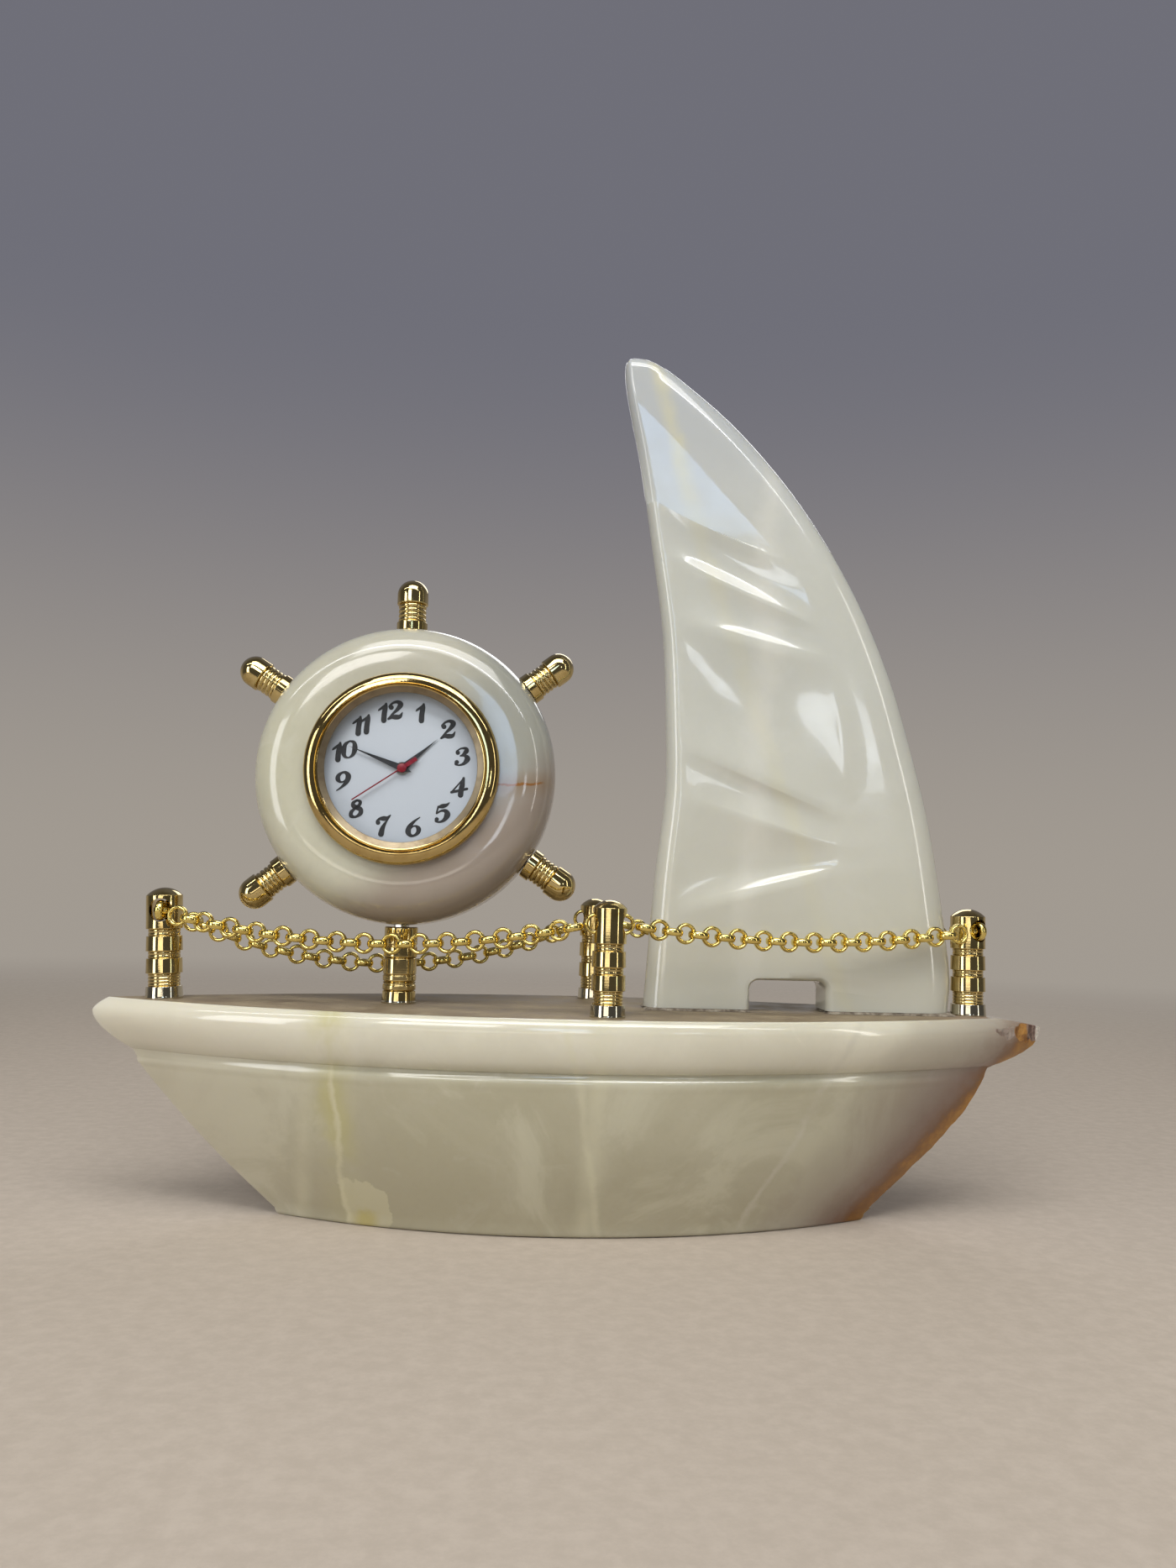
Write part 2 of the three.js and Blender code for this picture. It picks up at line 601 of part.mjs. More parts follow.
// One link lying in the XY plane, with the chain running along X. Its wire has a three-sided section
// with the flat side inwards, and the link's ends are flat where the neighbours hold it.
function linkGeometry() {
  const wire = LINK_WIRE / 1.5;
  const mean = (LINK_OUTER_RADIUS - LINK_WIRE + wire / 2) / Math.cos(Math.PI / LINK_STEPS);
  return new THREE.TorusGeometry(mean, wire, 3, LINK_STEPS)
    .rotateZ(Math.PI / LINK_STEPS)
    .scale(1, LINK_OUTER_RADIUS / (mean + wire), LINK_WIDTH / (Math.sqrt(3) * wire));
}

// A run of links along a curve; every other link stands upright.
function chainAlong(curve, count) {
  const up = new THREE.Vector3(0, 0, 1);
  const links = [...Array(count).keys()].map((i) => {
    const share = (i + 0.5) / count;
    const along = curve.getTangentAt(share);
    const aside = new THREE.Vector3().crossVectors(up, along).normalize();
    const above = new THREE.Vector3().crossVectors(along, aside);
    const frame = new THREE.Matrix4().makeBasis(along, aside, above).setPosition(curve.getPointAt(share));
    return linkGeometry()
      .rotateX(i % 2 ? 0 : Math.PI / 2)
      .applyMatrix4(frame);
  });
  return join(links);
}

function chainInPost(post) {
  const reach = holeDirection(post).multiplyScalar((LINKS_IN_POST * linkPitch) / 2);
  const centre = chainCentre(post);
  const curve = new THREE.LineCurve3(centre.clone().sub(reach), centre.clone().add(reach));
  return chainAlong(curve, LINKS_IN_POST);
}

// A chain that hangs between two points and sags in the middle.
class HangingCurve extends THREE.Curve {
  constructor(from, to, sag) {
    super();
    this.from = from;
    this.to = to;
    this.sag = sag;
  }

  getPoint(share, target = new THREE.Vector3()) {
    target.lerpVectors(this.from, this.to, share);
    target.z -= 4 * this.sag * share * (1 - share);
    return target;
  }
}

// Where a span ends beside an end post: clear of the post and of the links in its hole.
function spanEndAtEndPost(post, side, towards, drop) {
  const centre = chainCentre(post);
  const out = END_POST_RADIUS + LINK_OUTER_RADIUS + CHAIN_CLEARANCE;
  return new THREE.Vector3(centre.x + towards * CHAIN_END_ASIDE, side * out, centre.z - drop);
}

// Where a span ends beside a side post: in line with the hole.
function spanEndAtSidePost(post, towards, drop) {
  const centre = chainCentre(post);
  const linkOverhang = LINK_OUTER_RADIUS - linkPitch / 2;
  const out = (LINKS_IN_POST * linkPitch) / 2 + 2 * linkOverhang + CHAIN_CLEARANCE;
  return new THREE.Vector3(centre.x + towards * out, centre.y, centre.z - drop);
}

function spanGeometry(from, to, sag) {
  const curve = new HangingCurve(from, to, sag);
  return chainAlong(curve, Math.round(curve.getLength() / linkPitch));
}

function addRail() {
  const [bow, stern, port, starboard] = posts;
  posts.forEach((post) => {
    const geometry = postGeometry(post).translate(post.x, post.y, deckZ);
    addMesh(clock, `${post.name}_post`, geometry, "brass");
    const stud = rod(POST_STUD_RADIUS, -POST_STUD_LENGTH / 2, POST_STUD_LENGTH / 2);
    addMesh(clock, `${post.name}_post_stud`, stud.translate(post.x, post.y, deckZ), "steel");
    addMesh(clock, `chain_in_${post.name}_post`, chainInPost(post), "chain");
  });
  const spans = [
    ["chain_port_bow", bow, port, -1, PORT_BOW_SPAN],
    ["chain_starboard_bow", bow, starboard, 1, STARBOARD_BOW_SPAN],
    ["chain_port_stern", stern, port, -1, PORT_STERN_SPAN],
    ["chain_starboard_stern", stern, starboard, 1, STARBOARD_STERN_SPAN],
  ];
  spans.forEach(([name, end, side, hand, { sag, drop }]) => {
    const towards = end === bow ? 1 : -1;
    const from = spanEndAtEndPost(end, hand, towards, drop);
    const to = spanEndAtSidePost(side, -towards, drop);
    addMesh(clock, name, spanGeometry(from, to, sag), "chain");
  });
}

// Stem

function stemBaseGeometry() {
  const r = STEM_RADIUS;
  const g = STEM_GROOVE;
  const ringFrom = STEM_COLLAR_HEIGHT;
  const barrelFrom = ringFrom + STEM_RING_HEIGHT;
  const top = barrelFrom + STEM_BARREL_HEIGHT;
  const profile = [
    [0, 0], [r + POST_FOOT_FLARE, 0], [r + POST_FOOT_FLARE, ringFrom - g / 2], [r - g, ringFrom],
    [r, ringFrom + g / 2], [r, barrelFrom - g / 2], [r - g, barrelFrom], [r, barrelFrom + g / 2],
    [r, top - g / 2], [r - g / 2, top], [0, top],
  ];
  return cut(turned(profile, ROD_STEPS * 2), [rod(STEM_ROD_RADIUS + BORE_CLEARANCE, -1, top + 1)]);
}

function stemNeckGeometry() {
  const g = STEM_GROOVE / 2;
  const top = STEM_NECK_HEIGHT;
  const profile = [
    [0, 0], [STEM_RADIUS - g, 0], [STEM_RADIUS, g],
    [STEM_RADIUS, top - g], [STEM_RADIUS - g, top], [0, top],
  ];
  return cut(turned(profile, ROD_STEPS * 2), [rod(STEM_ROD_RADIUS + BORE_CLEARANCE, -1, top + 1)]);
}

function addStem() {
  const baseTop = stemHeight - STEM_NECK_HEIGHT;
  addMesh(clock, "stem_base", stemBaseGeometry().translate(wheelX, 0, deckZ), "brass");
  addMesh(clock, "stem_neck", stemNeckGeometry().translate(wheelX, 0, deckZ + baseTop), "brass");
  const stemRod = rod(STEM_ROD_RADIUS, -STEM_ROD_IN_HULL, stemHeight + STEM_ROD_IN_WHEEL);
  addMesh(clock, "stem_rod", stemRod.translate(wheelX, 0, deckZ), "steel");
}

// Wheel: its own frame has the dial's axis along Y and the ring's centre at the origin

const wheel = new THREE.Group();
wheel.position.set(wheelX, 0, wheelZ);
wheel.rotation.set(-WHEEL_TILT_BACK, 0, -WHEEL_TURN, "ZXY");
wheel.updateMatrix();
clock.add(wheel);

function wheelRingGeometry() {
  const half = WHEEL_THICKNESS / 2;
  const flat = half - WHEEL_EDGE_DEPTH;
  const round = WHEEL_RADIUS - WHEEL_FACE_RADIUS;
  const steps = 4;
  const profile = [[WHEEL_BORE_RADIUS, -half]];
  for (let i = 0; i <= steps; i++) {
    const angle = (Math.PI / 2) * (i / steps);
    profile.push([
      WHEEL_FACE_RADIUS + round * Math.sin(angle),
      -flat - WHEEL_EDGE_DEPTH * Math.cos(angle),
    ]);
  }
  for (let i = steps; i >= 0; i--) {
    const angle = (Math.PI / 2) * (i / steps);
    profile.push([
      WHEEL_FACE_RADIUS + round * Math.sin(angle),
      flat + WHEEL_EDGE_DEPTH * Math.cos(angle),
    ]);
  }
  profile.push([WHEEL_BORE_RADIUS, half], [WHEEL_BORE_RADIUS, -half]);
  const studBores = HANDLE_ANGLES.map((angle) =>
    rod(HANDLE_STUD_RADIUS + BORE_CLEARANCE, -HANDLE_STUD_IN_WHEEL - SEAT_GAP, 2)
      .translate(0, 0, WHEEL_RADIUS)
      .rotateY(angle),
  );
  const rodBore = rod(STEM_ROD_RADIUS + SEAT_GAP, 0, stemHeight + STEM_ROD_IN_WHEEL + SEAT_GAP)
    .translate(wheelX, 0, deckZ)
    .applyMatrix4(wheel.matrix.clone().invert());
  return cut(facing(turned(profile, ROUND_STEPS)), [...studBores, rodBore]);
}

function handleGeometry() {
  const neckFrom = HANDLE_COLLAR_HEIGHT;
  const bulbFrom = neckFrom + HANDLE_NECK_HEIGHT;
  const top = bulbFrom + HANDLE_BULB_HEIGHT;
  const dome = top - HANDLE_BULB_RADIUS;
  const profile = [[0, 0], [HANDLE_COLLAR_RADIUS, 0], [HANDLE_COLLAR_RADIUS, neckFrom]];
  const waist = HANDLE_NECK_RADIUS - HANDLE_NECK_GROOVE;
  const bead = HANDLE_NECK_HEIGHT / HANDLE_NECK_BEADS;
  profile.push([waist, neckFrom]);
  for (let i = 0; i < HANDLE_NECK_BEADS; i++) {
    const from = neckFrom + bead * i;
    profile.push([HANDLE_NECK_RADIUS, from + bead / 2], [waist, from + bead]);
  }
  profile.push([HANDLE_BULB_RADIUS, bulbFrom + HANDLE_NECK_GROOVE]);
  for (const angle of [0, Math.PI / 6, Math.PI / 3]) {
    profile.push([HANDLE_BULB_RADIUS * Math.cos(angle), dome + HANDLE_BULB_RADIUS * Math.sin(angle)]);
  }
  profile.push([0, top]);
  const bore = rod(HANDLE_STUD_RADIUS + BORE_CLEARANCE, -1, HANDLE_STUD_IN_HANDLE + SEAT_GAP);
  return cut(turned(profile, TURNED_STEPS), [bore]);
}

function addWheel() {
  addMesh(wheel, "wheel_ring", wheelRingGeometry(), "onyx");
  HANDLE_ANGLES.forEach((angle, i) => {
    const spoke = new THREE.Group();
    spoke.rotation.y = angle;
    wheel.add(spoke);
    const seat = WHEEL_RADIUS + HANDLE_GAP;
    addMesh(spoke, `handle_${HANDLE_NAMES[i]}`, handleGeometry().translate(0, 0, seat), "brass");
    const stud = rod(HANDLE_STUD_RADIUS, seat - HANDLE_STUD_IN_WHEEL, seat + HANDLE_STUD_IN_HANDLE, 8);
    addMesh(spoke, `handle_stud_${HANDLE_NAMES[i]}`, stud, "steel");
  });
}

// Clock insert: modelled along Z with the wheel's front face at Z = 0, then turned to face -Y

const insert = new THREE.Group();
insert.rotation.y = DIAL_TURN;
wheel.add(insert);

function addToInsert(name, geometry, material) {
  addMesh(insert, name, facing(geometry.translate(0, 0, wheelFace)), material);
}

function bezelGeometry() {
  const pocket = CRYSTAL_RADIUS + SEAT_GAP;
  const lipBack = CRYSTAL_FORWARD + CRYSTAL_THICKNESS + SEAT_GAP;
  const rolled = BEZEL_RADIUS - BEZEL_RIDGE_RADIUS;
  return turned(
    [
      [pocket, SEAT_GAP], [BEZEL_RADIUS, SEAT_GAP], [BEZEL_RADIUS, SEAT_GAP + BEZEL_EDGE_HEIGHT],
      [BEZEL_RADIUS - rolled / 3, BEZEL_HEIGHT - BEZEL_SHOULDER_DROP],
      [BEZEL_RIDGE_RADIUS + rolled / 4, BEZEL_HEIGHT - BEZEL_SHOULDER_DROP / 5],
      [BEZEL_RIDGE_RADIUS, BEZEL_HEIGHT], [BEZEL_LIP_RADIUS, lipBack + BEZEL_LIP_HEIGHT],
      [BEZEL_LIP_RADIUS, lipBack], [pocket, lipBack], [pocket, SEAT_GAP],
    ],
    ROUND_STEPS,
  );
}

function caseGeometry() {
  const flangeInner = CASE_RADIUS - CASE_WALL;
  const barrelInner = BARREL_RADIUS - CASE_WALL;
  const shell = turned(
    [
      [barrelInner, -BARREL_DEPTH], [BARREL_RADIUS, -BARREL_DEPTH], [BARREL_RADIUS, -CASE_FLANGE_DEPTH],
      [CASE_RADIUS, -CASE_FLANGE_DEPTH], [CASE_RADIUS, 0], [flangeInner, 0],
      [flangeInner, -CASE_FLANGE_DEPTH + CASE_WALL], [barrelInner, -CASE_FLANGE_DEPTH + CASE_WALL],
      [barrelInner, -BARREL_DEPTH],
    ],
    INNER_STEPS,
  );
  return cut(shell, [crownBore()]);
}

// Moves a piece made along Z to three o'clock, along X and behind the flange of the case.
function atThreeOClock(geometry) {
  return geometry.rotateY(Math.PI / 2).translate(0, 0, -CASE_FLANGE_DEPTH - SEAT_GAP - CROWN_RADIUS);
}

// The way through the case and the movement holder for the setting stem.
function crownBore() {
  return atThreeOClock(rod(CROWN_STEM_RADIUS + SEAT_GAP, MOVEMENT_RADIUS - 1, CASE_RADIUS));
}

const dialFront = -DIAL_BEHIND_FACE;
const dialBack = dialFront - DIAL_THICKNESS;
const movementFront = dialBack - SEAT_GAP;
const movementBack = movementFront - MOVEMENT_THICKNESS;
const handLevels = [1, 2, 3].map((i) => dialFront + i * HAND_SPACING);

function movementGeometry() {
  const reach = handLevels[2] - HAND_SPACING / 2;
  return turned(
    [
      [0, movementBack], [MOVEMENT_RADIUS, movementBack], [MOVEMENT_RADIUS, movementFront],
      [ARBOR_RADIUS, movementFront], [ARBOR_RADIUS, reach], [0, reach],
    ],
    INNER_STEPS,
  );
}

// The ring that centres the movement in the case and carries the dial.
function holderGeometry() {
  const outer = BARREL_RADIUS - CASE_WALL - BORE_CLEARANCE;
  const ring = tube(MOVEMENT_RADIUS + BORE_CLEARANCE, outer, movementBack, movementFront, INNER_STEPS);
  return cut(ring, [crownBore()]);
}

// A hand that points up from a hub round the arbor: a tapering blade with a short pointed tail.
function handGeometry(hand, level) {
  const half = hand.width / 2;
  const blade = new THREE.Shape()
    .moveTo(0, -hand.tail)
    .lineTo(half, -hand.hub / 2)
    .lineTo(half, hand.hub)
    .lineTo(half / 3, hand.length * 0.62)
    .lineTo(0, hand.length)
    .lineTo(-half / 3, hand.length * 0.62)
    .lineTo(-half, hand.hub)
    .lineTo(-half, -hand.hub / 2)
    .closePath();
  const sheet = new THREE.ExtrudeGeometry(blade, { depth: HAND_THICKNESS, bevelEnabled: false });
  const boss = rod(hand.hub, 0, HAND_THICKNESS, 12);
  const eye = rod(ARBOR_RADIUS + BORE_CLEARANCE / 2, -1, 1);
  return cut(join([sheet, boss]), [eye])
    .translate(0, 0, level - HAND_THICKNESS / 2)
    .rotateZ(-THREE.MathUtils.degToRad(hand.angle));
}

// The second hand covers the end of the arbor.
function secondHandGeometry(hand, level) {
  const needle = new THREE.BoxGeometry(hand.width, hand.length, HAND_THICKNESS);
  const tail = new THREE.BoxGeometry(hand.tailWidth, hand.tail, HAND_THICKNESS);
  const boss = rod(hand.hub, -HAND_THICKNESS / 2, HAND_THICKNESS / 2, 12);
  return join([needle.translate(0, hand.length / 2, 0), tail.translate(0, -hand.tail / 2, 0), boss])
    .translate(0, 0, level)
    .rotateZ(-THREE.MathUtils.degToRad(hand.angle));
}

// The crown on its stem is pulled out along X to set the hands.
function addCrown() {
  const from = BARREL_RADIUS + SEAT_GAP;
  const crown = tube(CROWN_STEM_RADIUS + BORE_CLEARANCE, CROWN_RADIUS, from, from + CROWN_LENGTH, 16);
  const stem = rod(CROWN_STEM_RADIUS, MOVEMENT_RADIUS + SEAT_GAP, from + CROWN_LENGTH);
  addToInsert("setting_crown", atThreeOClock(crown), "brass");
  addToInsert("setting_stem", atThreeOClock(stem), "steel");
}

function addInsert() {
  addToInsert("bezel", bezelGeometry(), "brass");
  const crystalFront = CRYSTAL_FORWARD + CRYSTAL_THICKNESS;
  addToInsert("crystal", rod(CRYSTAL_RADIUS, CRYSTAL_FORWARD, crystalFront, ROUND_STEPS), "glass");
  addToInsert("insert_case", caseGeometry(), "brass");
  const gripInner = CASE_RADIUS + BORE_CLEARANCE;
  const gripOuter = WHEEL_BORE_RADIUS - BORE_CLEARANCE;
  const gripRing = tube(gripInner, gripOuter, -SEAT_GAP - GRIP_RING_WIDTH, -SEAT_GAP);
  addToInsert("grip_ring", gripRing, "rubber");
  addToInsert("dial", tube(DIAL_HOLE_RADIUS, DIAL_RADIUS, dialBack, dialFront), "dial");
  addToInsert("hour_hand", handGeometry(HOUR_HAND, handLevels[0]), "blackPaint");
  addToInsert("minute_hand", handGeometry(MINUTE_HAND, handLevels[1]), "blackPaint");
  addToInsert("second_hand", secondHandGeometry(SECOND_HAND, handLevels[2]), "redPaint");
  addToInsert("movement", movementGeometry(), "plastic");
  addToInsert("movement_holder", holderGeometry(), "plastic");
  const batteryTop = movementBack - SEAT_GAP;
  const battery = rod(BATTERY_RADIUS, batteryTop - BATTERY_THICKNESS, batteryTop, 16);
  addToInsert("battery", battery.translate(-BATTERY_OFFSET, 0, 0), "steel");
  const backFront = -BARREL_DEPTH - SEAT_GAP;
  const caseBack = rod(BARREL_RADIUS, backFront - CASE_BACK_THICKNESS, backFront, INNER_STEPS);
  addToInsert("case_back", caseBack, "steel");
  addCrown();
}

addMesh(clock, "hull", hullGeometry(), "onyx");
addMesh(clock, "sail", sailGeometry(), "onyx");
const sailForeX = sailAftX - SAIL_FOOT_LENGTH;
const notchForeX = sailForeX + NOTCH_FROM_LUFF;
addMesh(clock, "cement_fore", cementGeometry(sailForeX, notchForeX), "cement");
addMesh(clock, "cement_aft", cementGeometry(notchForeX + NOTCH_WIDTH, sailAftX), "cement");
addRail();
addStem();
addWheel();
addInsert();

export default clock;
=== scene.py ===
import math

import bmesh
import bpy
from mathutils import Matrix, Vector, noise


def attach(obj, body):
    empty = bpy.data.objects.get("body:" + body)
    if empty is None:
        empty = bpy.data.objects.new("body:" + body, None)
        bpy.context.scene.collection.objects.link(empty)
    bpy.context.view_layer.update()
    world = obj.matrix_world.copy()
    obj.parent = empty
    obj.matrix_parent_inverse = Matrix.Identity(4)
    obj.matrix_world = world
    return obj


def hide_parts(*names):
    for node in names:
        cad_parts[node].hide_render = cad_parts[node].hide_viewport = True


# Looks of the sailing-boat desk clock. The modelling functions work in millimetres, in the frame of the
# CAD part: X runs along the boat with the bow at -X, Z is up, and the dial faces -Y.

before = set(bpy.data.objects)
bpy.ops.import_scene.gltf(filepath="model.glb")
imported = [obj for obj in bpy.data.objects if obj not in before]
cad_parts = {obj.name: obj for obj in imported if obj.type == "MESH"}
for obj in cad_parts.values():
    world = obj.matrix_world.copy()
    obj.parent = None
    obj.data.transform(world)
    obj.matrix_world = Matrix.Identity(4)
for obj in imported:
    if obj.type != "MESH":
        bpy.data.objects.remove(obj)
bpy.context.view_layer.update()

MM = 0.001
LIFT = 0.02
CURVE_STEPS = 400
CUTTER_STEPS = 12
FACE_FORWARD = Matrix.Rotation(math.pi / 2, 4, "X")

# Photograph and camera
PHOTO_HEIGHT = 1867
FOCAL_PIXELS = 1450
SENSOR = 36.0
CAMERA_PLACE = (-14.70, -242.62, 62.73)
CAMERA_YAW = math.radians(-3.587)
CAMERA_PITCH = math.radians(5.111)
CAMERA_ROLL = math.radians(1.571)

# Hull
HULL_LENGTH = 187.4
HULL_BEAM = 53.0
DECK_Z = 40.35
BOTTOM_LENGTH = 114.6
BOTTOM_BEAM = 30.8
BOTTOM_EDGE_RADIUS = 1.2
BODY_BULGE = 1.05
BODY_TIP_INSET = 10.4
BODY_SIDE_INSET = 2.6
RIDGE_TIP_INSET = 8.9
RIDGE_SIDE_INSET = 2.3
RIDGE_DROP = 11.2
RIDGE_BAND = 2.4
COVE_TIP_INSET = 8.0
COVE_SIDE_INSET = 2.8
COVE_DROP = 9.7
DECK_EDGE_DROP = 2.6
DECK_EDGE_INSET = 1.6
DECK_TIP_INSET = 3.0
TIP_FULLNESS = 1.7
CHIP_LENGTH = 8.4
CHIP_SETBACK = 0.35
CHIP_PAST_MIDDLE = 0.1
CHIP_HEIGHT = 8.2
CHIP_INWARD = 0.3
# Waves of the broken face: (scale, height)
CHIP_WAVES = ((0.7, 0.45), (1.9, 0.15))
TIP_WEAR_LENGTH = 13.0
TIP_WEAR_DROP = 2.2
TIP_WEAR_POWER = 1.4
TIP_WEAR_REACH = 14
HULL_SIDE_STEPS = 72
HULL_BODY_STEPS = 14
RIDGE_TIP_TUCK = 0.4
# The band below the cove and the ledge on it: (share of the way up, share of the way out)
RIDGE_SECTION = ((0, 0.0), (0.15, 0.14), (0.3, 0.34), (0.45, 0.58), (0.6, 0.82), (0.75, 1.0), (0.9, 1.1))
LEDGE_SECTION = ((0, 1.05), (0.1, 0.92), (0.25, 0.66), (0.42, 0.34), (0.6, 0.12), (0.8, 0.03))
# The worn stern edge: (below the deck, worn back from the sharp edge), and at the foot
WORN_STERN = ((2.5, 0), (5.8, 0), (8.1, 1.1), (10, 4.2), (13.1, 3.5), (18.5, 1.4), (26, 1.0))
WORN_AT_FOOT = 0.5
WEAR_STEP = 1.1
WEAR_REACH = 12
WEAR_GRAIN = 0.55
WEAR_ROUGHNESS = 0.28

# Sail
SAIL_FOOT_LENGTH = 61.8
SAIL_HEIGHT = 132.45
SAIL_THICKNESS = 9.0
SAIL_TIP_THICKNESS = 5.6
SAIL_TIP_ROUND = 3.0
SAIL_LATERAL_OFFSET = 0.5
SAIL_LUFF_ROUND = 3.5
SAIL_LUFF_ROUND_AT_TOP = 1.2
SAIL_LEECH_ROUND = 8.0
SAIL_FOOT_AFT_CLEARANCE = 0.5
NOTCH_WIDTH = 15.2
NOTCH_HEIGHT = 5.7
NOTCH_CORNER = 1.8
NOTCH_EDGE_ROUND = 1.5
NOTCH_FROM_LUFF = 20.7
NOTCH_BELOW_FOOT = 2.0
CEMENT_THICKNESS = 0.5
CEMENT_MARGIN = 0.6
CEMENT_STEP = 0.5
CEMENT_ROWS = 22
# Edges from foot to tip: (aft of the edge's foot corner, share of the sail's height)
LUFF_EDGE = (
    (0, 0), (1.7, 0.185), (3.5, 0.32), (3.3, 0.44), (2.3, 0.57), (-0.2, 0.7), (-3, 0.83),
    (-5.9, 0.935), (-6.6, 0.986), (-5.2, 1),
)
LEECH_EDGE = (
    (-0.3, 0), (0, 0.07), (-3.6, 0.26), (-7.7, 0.39), (-13, 0.52), (-20.7, 0.65), (-31.6, 0.78),
    (-44.3, 0.89), (-56.3, 0.966), (-61.4, 0.99), (-64.4, 1),
)
RIM_EDGE = (
    (-27, 0), (-23.6, 0.214), (-21.7, 0.32), (-23, 0.434), (-25.7, 0.534), (-30.6, 0.64),
    (-36.5, 0.7), (-45.5, 0.777), (-53.5, 0.86), (-59.1, 0.9), (-64.2, 0.94), (-66, 1),
)
# Scoops from the foot up: share of the height at the luff and at the rim where each starts, its depth,
# how far up it is deepest, and how rounded it is from luff to rim
SCOOPS = (
    (0, 0, 0.5, 0.5, 0.8), (0.136, 0.214, 1.4, 0.3, 0.8), (0.315, 0.243, 0.9, 0.6, 0.9),
    (0.389, 0.286, 1.7, 0.5, 0.9), (0.584, 0.532, 0.9, 0.4, 0.9), (0.685, 0.58, 1.1, 0.4, 0.9),
    (0.766, 0.683, 0, 0.5, 0.5), (0.94, 0.94, 0, 0.5, 0.5),
)
SAIL_TIP_FLATNESS = 0.97
SCOOP_ROWS = 14
SCOOP_COLUMNS = 30
# Shares of the roundings at the luff and at the leech
LUFF_SHARES = (0, 0.03, 0.1, 0.2, 0.34, 0.5, 0.7, 0.86)
LEECH_SHARES = (1, 0.8, 0.6, 0.42, 0.28, 0.17, 0.08, 0.03, 0)
# The facet near the tip is cut flat, deepest at its lower corner by the luff
FACET = 6
FACET_DEPTH = 1.8
FACET_STEP = 0.02

# Posts and stem
BOW_POST_FROM_TIP = 13.4
STERN_POST_FROM_TIP = 15.4
SIDE_POST_AFT_OF_MIDDLE = 4.0
SIDE_POST_FROM_RIM = 7.15
END_POST_RADIUS = 3.43
SIDE_POST_RADIUS = 3.15
POST_IN_DECK = 0.6
POST_FOOT_HEIGHT = 2.3
POST_FOOT_FLARE = 0.12
POST_FOOT_TAPER = 0.15
POST_RIBBED_HEIGHT = 2.5
POST_BAND_HEIGHT = 2.85
POST_BAND_TAPER = 0.07
POST_GROOVE_HEIGHT = 1.4
POST_GROOVE_DEPTH = 0.42
POST_HEAD_HEIGHT = 6.4
POST_DOME_HEIGHT = 1.55
POST_SHOULDER = 0.12
CHAIN_HOLE_RADIUS = 2.2
CHAIN_HOLE_FLARE = 0.4
CHAIN_HOLE_STRAIGHT = 2.9
CHAIN_HOLE_BELOW_DOME = 2.75
BOW_POST_LEAN = math.radians(3.0)
STERN_HOLE_TURN = math.radians(25.0)
WHEEL_FORWARD_OF_MIDDLE = 35.4
BRASS_EDGE_ROUND = 0.08
STEM_RADIUS = 3.25
STEM_COLLAR_HEIGHT = 2.5
STEM_RING_HEIGHT = 1.75
STEM_BARREL_HEIGHT = 4.55
STEM_NECK_HEIGHT = 6.0
STEM_GROOVE = 0.35
STEM_TO_WHEEL = 0.3

# Chain
LINK_OUTER_RADIUS = 1.9
LINK_WIRE_RADIUS = 0.38
LINK_SWELL = 0.12
LINK_HALF_WIDTH = 0.70
LINK_WALL = 0.64
LINK_PLAY = 0.12
LINK_PITCH = 2 * (LINK_OUTER_RADIUS - LINK_WALL) + LINK_PLAY
LINKS_IN_POST = 3
CHAIN_DROP_IN_HOLE = 0.1
CHAIN_CLEARANCE = 0.3
CHAIN_END_ASIDE = 2.9
# Each span: the end post, the side post, its side, its sag, and how far its ends hang down
SPANS = {
    "chain_port_bow": ("bow", "port", -1, 4.3, 0.6),
    "chain_starboard_bow": ("bow", "starboard", 1, 8.2, 1.8),
    "chain_port_stern": ("stern", "port", -1, 2.3, 0.4),
    "chain_starboard_stern": ("stern", "starboard", 1, 4.6, 0.8),
}

# Wheel and clock insert
WHEEL_RADIUS = 29.35
WHEEL_THICKNESS = 19.4
WHEEL_FACE_RADIUS = 20.5
WHEEL_EDGE_DEPTH = 8.4
WHEEL_SQUARENESS = 2.45
WHEEL_BORE_RADIUS = 17.0
WHEEL_TILT_BACK = math.radians(3.7)
WHEEL_TURN = math.radians(1.7)
HANDLES = {"top": -1, "aft_upper": 52, "aft_lower": 124, "bow_lower": -130, "bow_upper": -57}
HANDLE_GAP = 0.1
HANDLE_COLLAR_RADIUS = 3.1
HANDLE_COLLAR_HEIGHT = 1.9
HANDLE_NECK_RADIUS = 2.8
HANDLE_NECK_HEIGHT = 3.7
HANDLE_NECK_BEADS = 4
HANDLE_BEAD_DEPTH = 0.42
HANDLE_BULB_RADIUS = 3.12
HANDLE_BULB_HEIGHT = 5.2
DIAL_TURN = math.radians(-13.6)
BEZEL_RADIUS = 18.6
BEZEL_SEAT = 0.3
BEZEL_HEIGHT = 2.5
BEZEL_RIDGE_RADIUS = 15.8
BEZEL_LIP_RADIUS = 14.4
BEZEL_GROOVE = 0.5
BEZEL_POCKET_RADIUS = 15.6
BEZEL_LIP_BACK = 2.05
DIAL_FRONT = -0.35
HAND_TOP = 0.63
NUMERAL_RING_RADIUS = 11.5
NUMERAL_HEIGHT = 3.2
NUMERAL_SLANT = math.radians(15)
PEN_WEIGHT = 1.6
PEN_LEAST_WIDTH = 0.03
STROKE_STEPS = 8
STROKE_LIFT = 0.0015
NUMERAL_SPREAD = 1.36

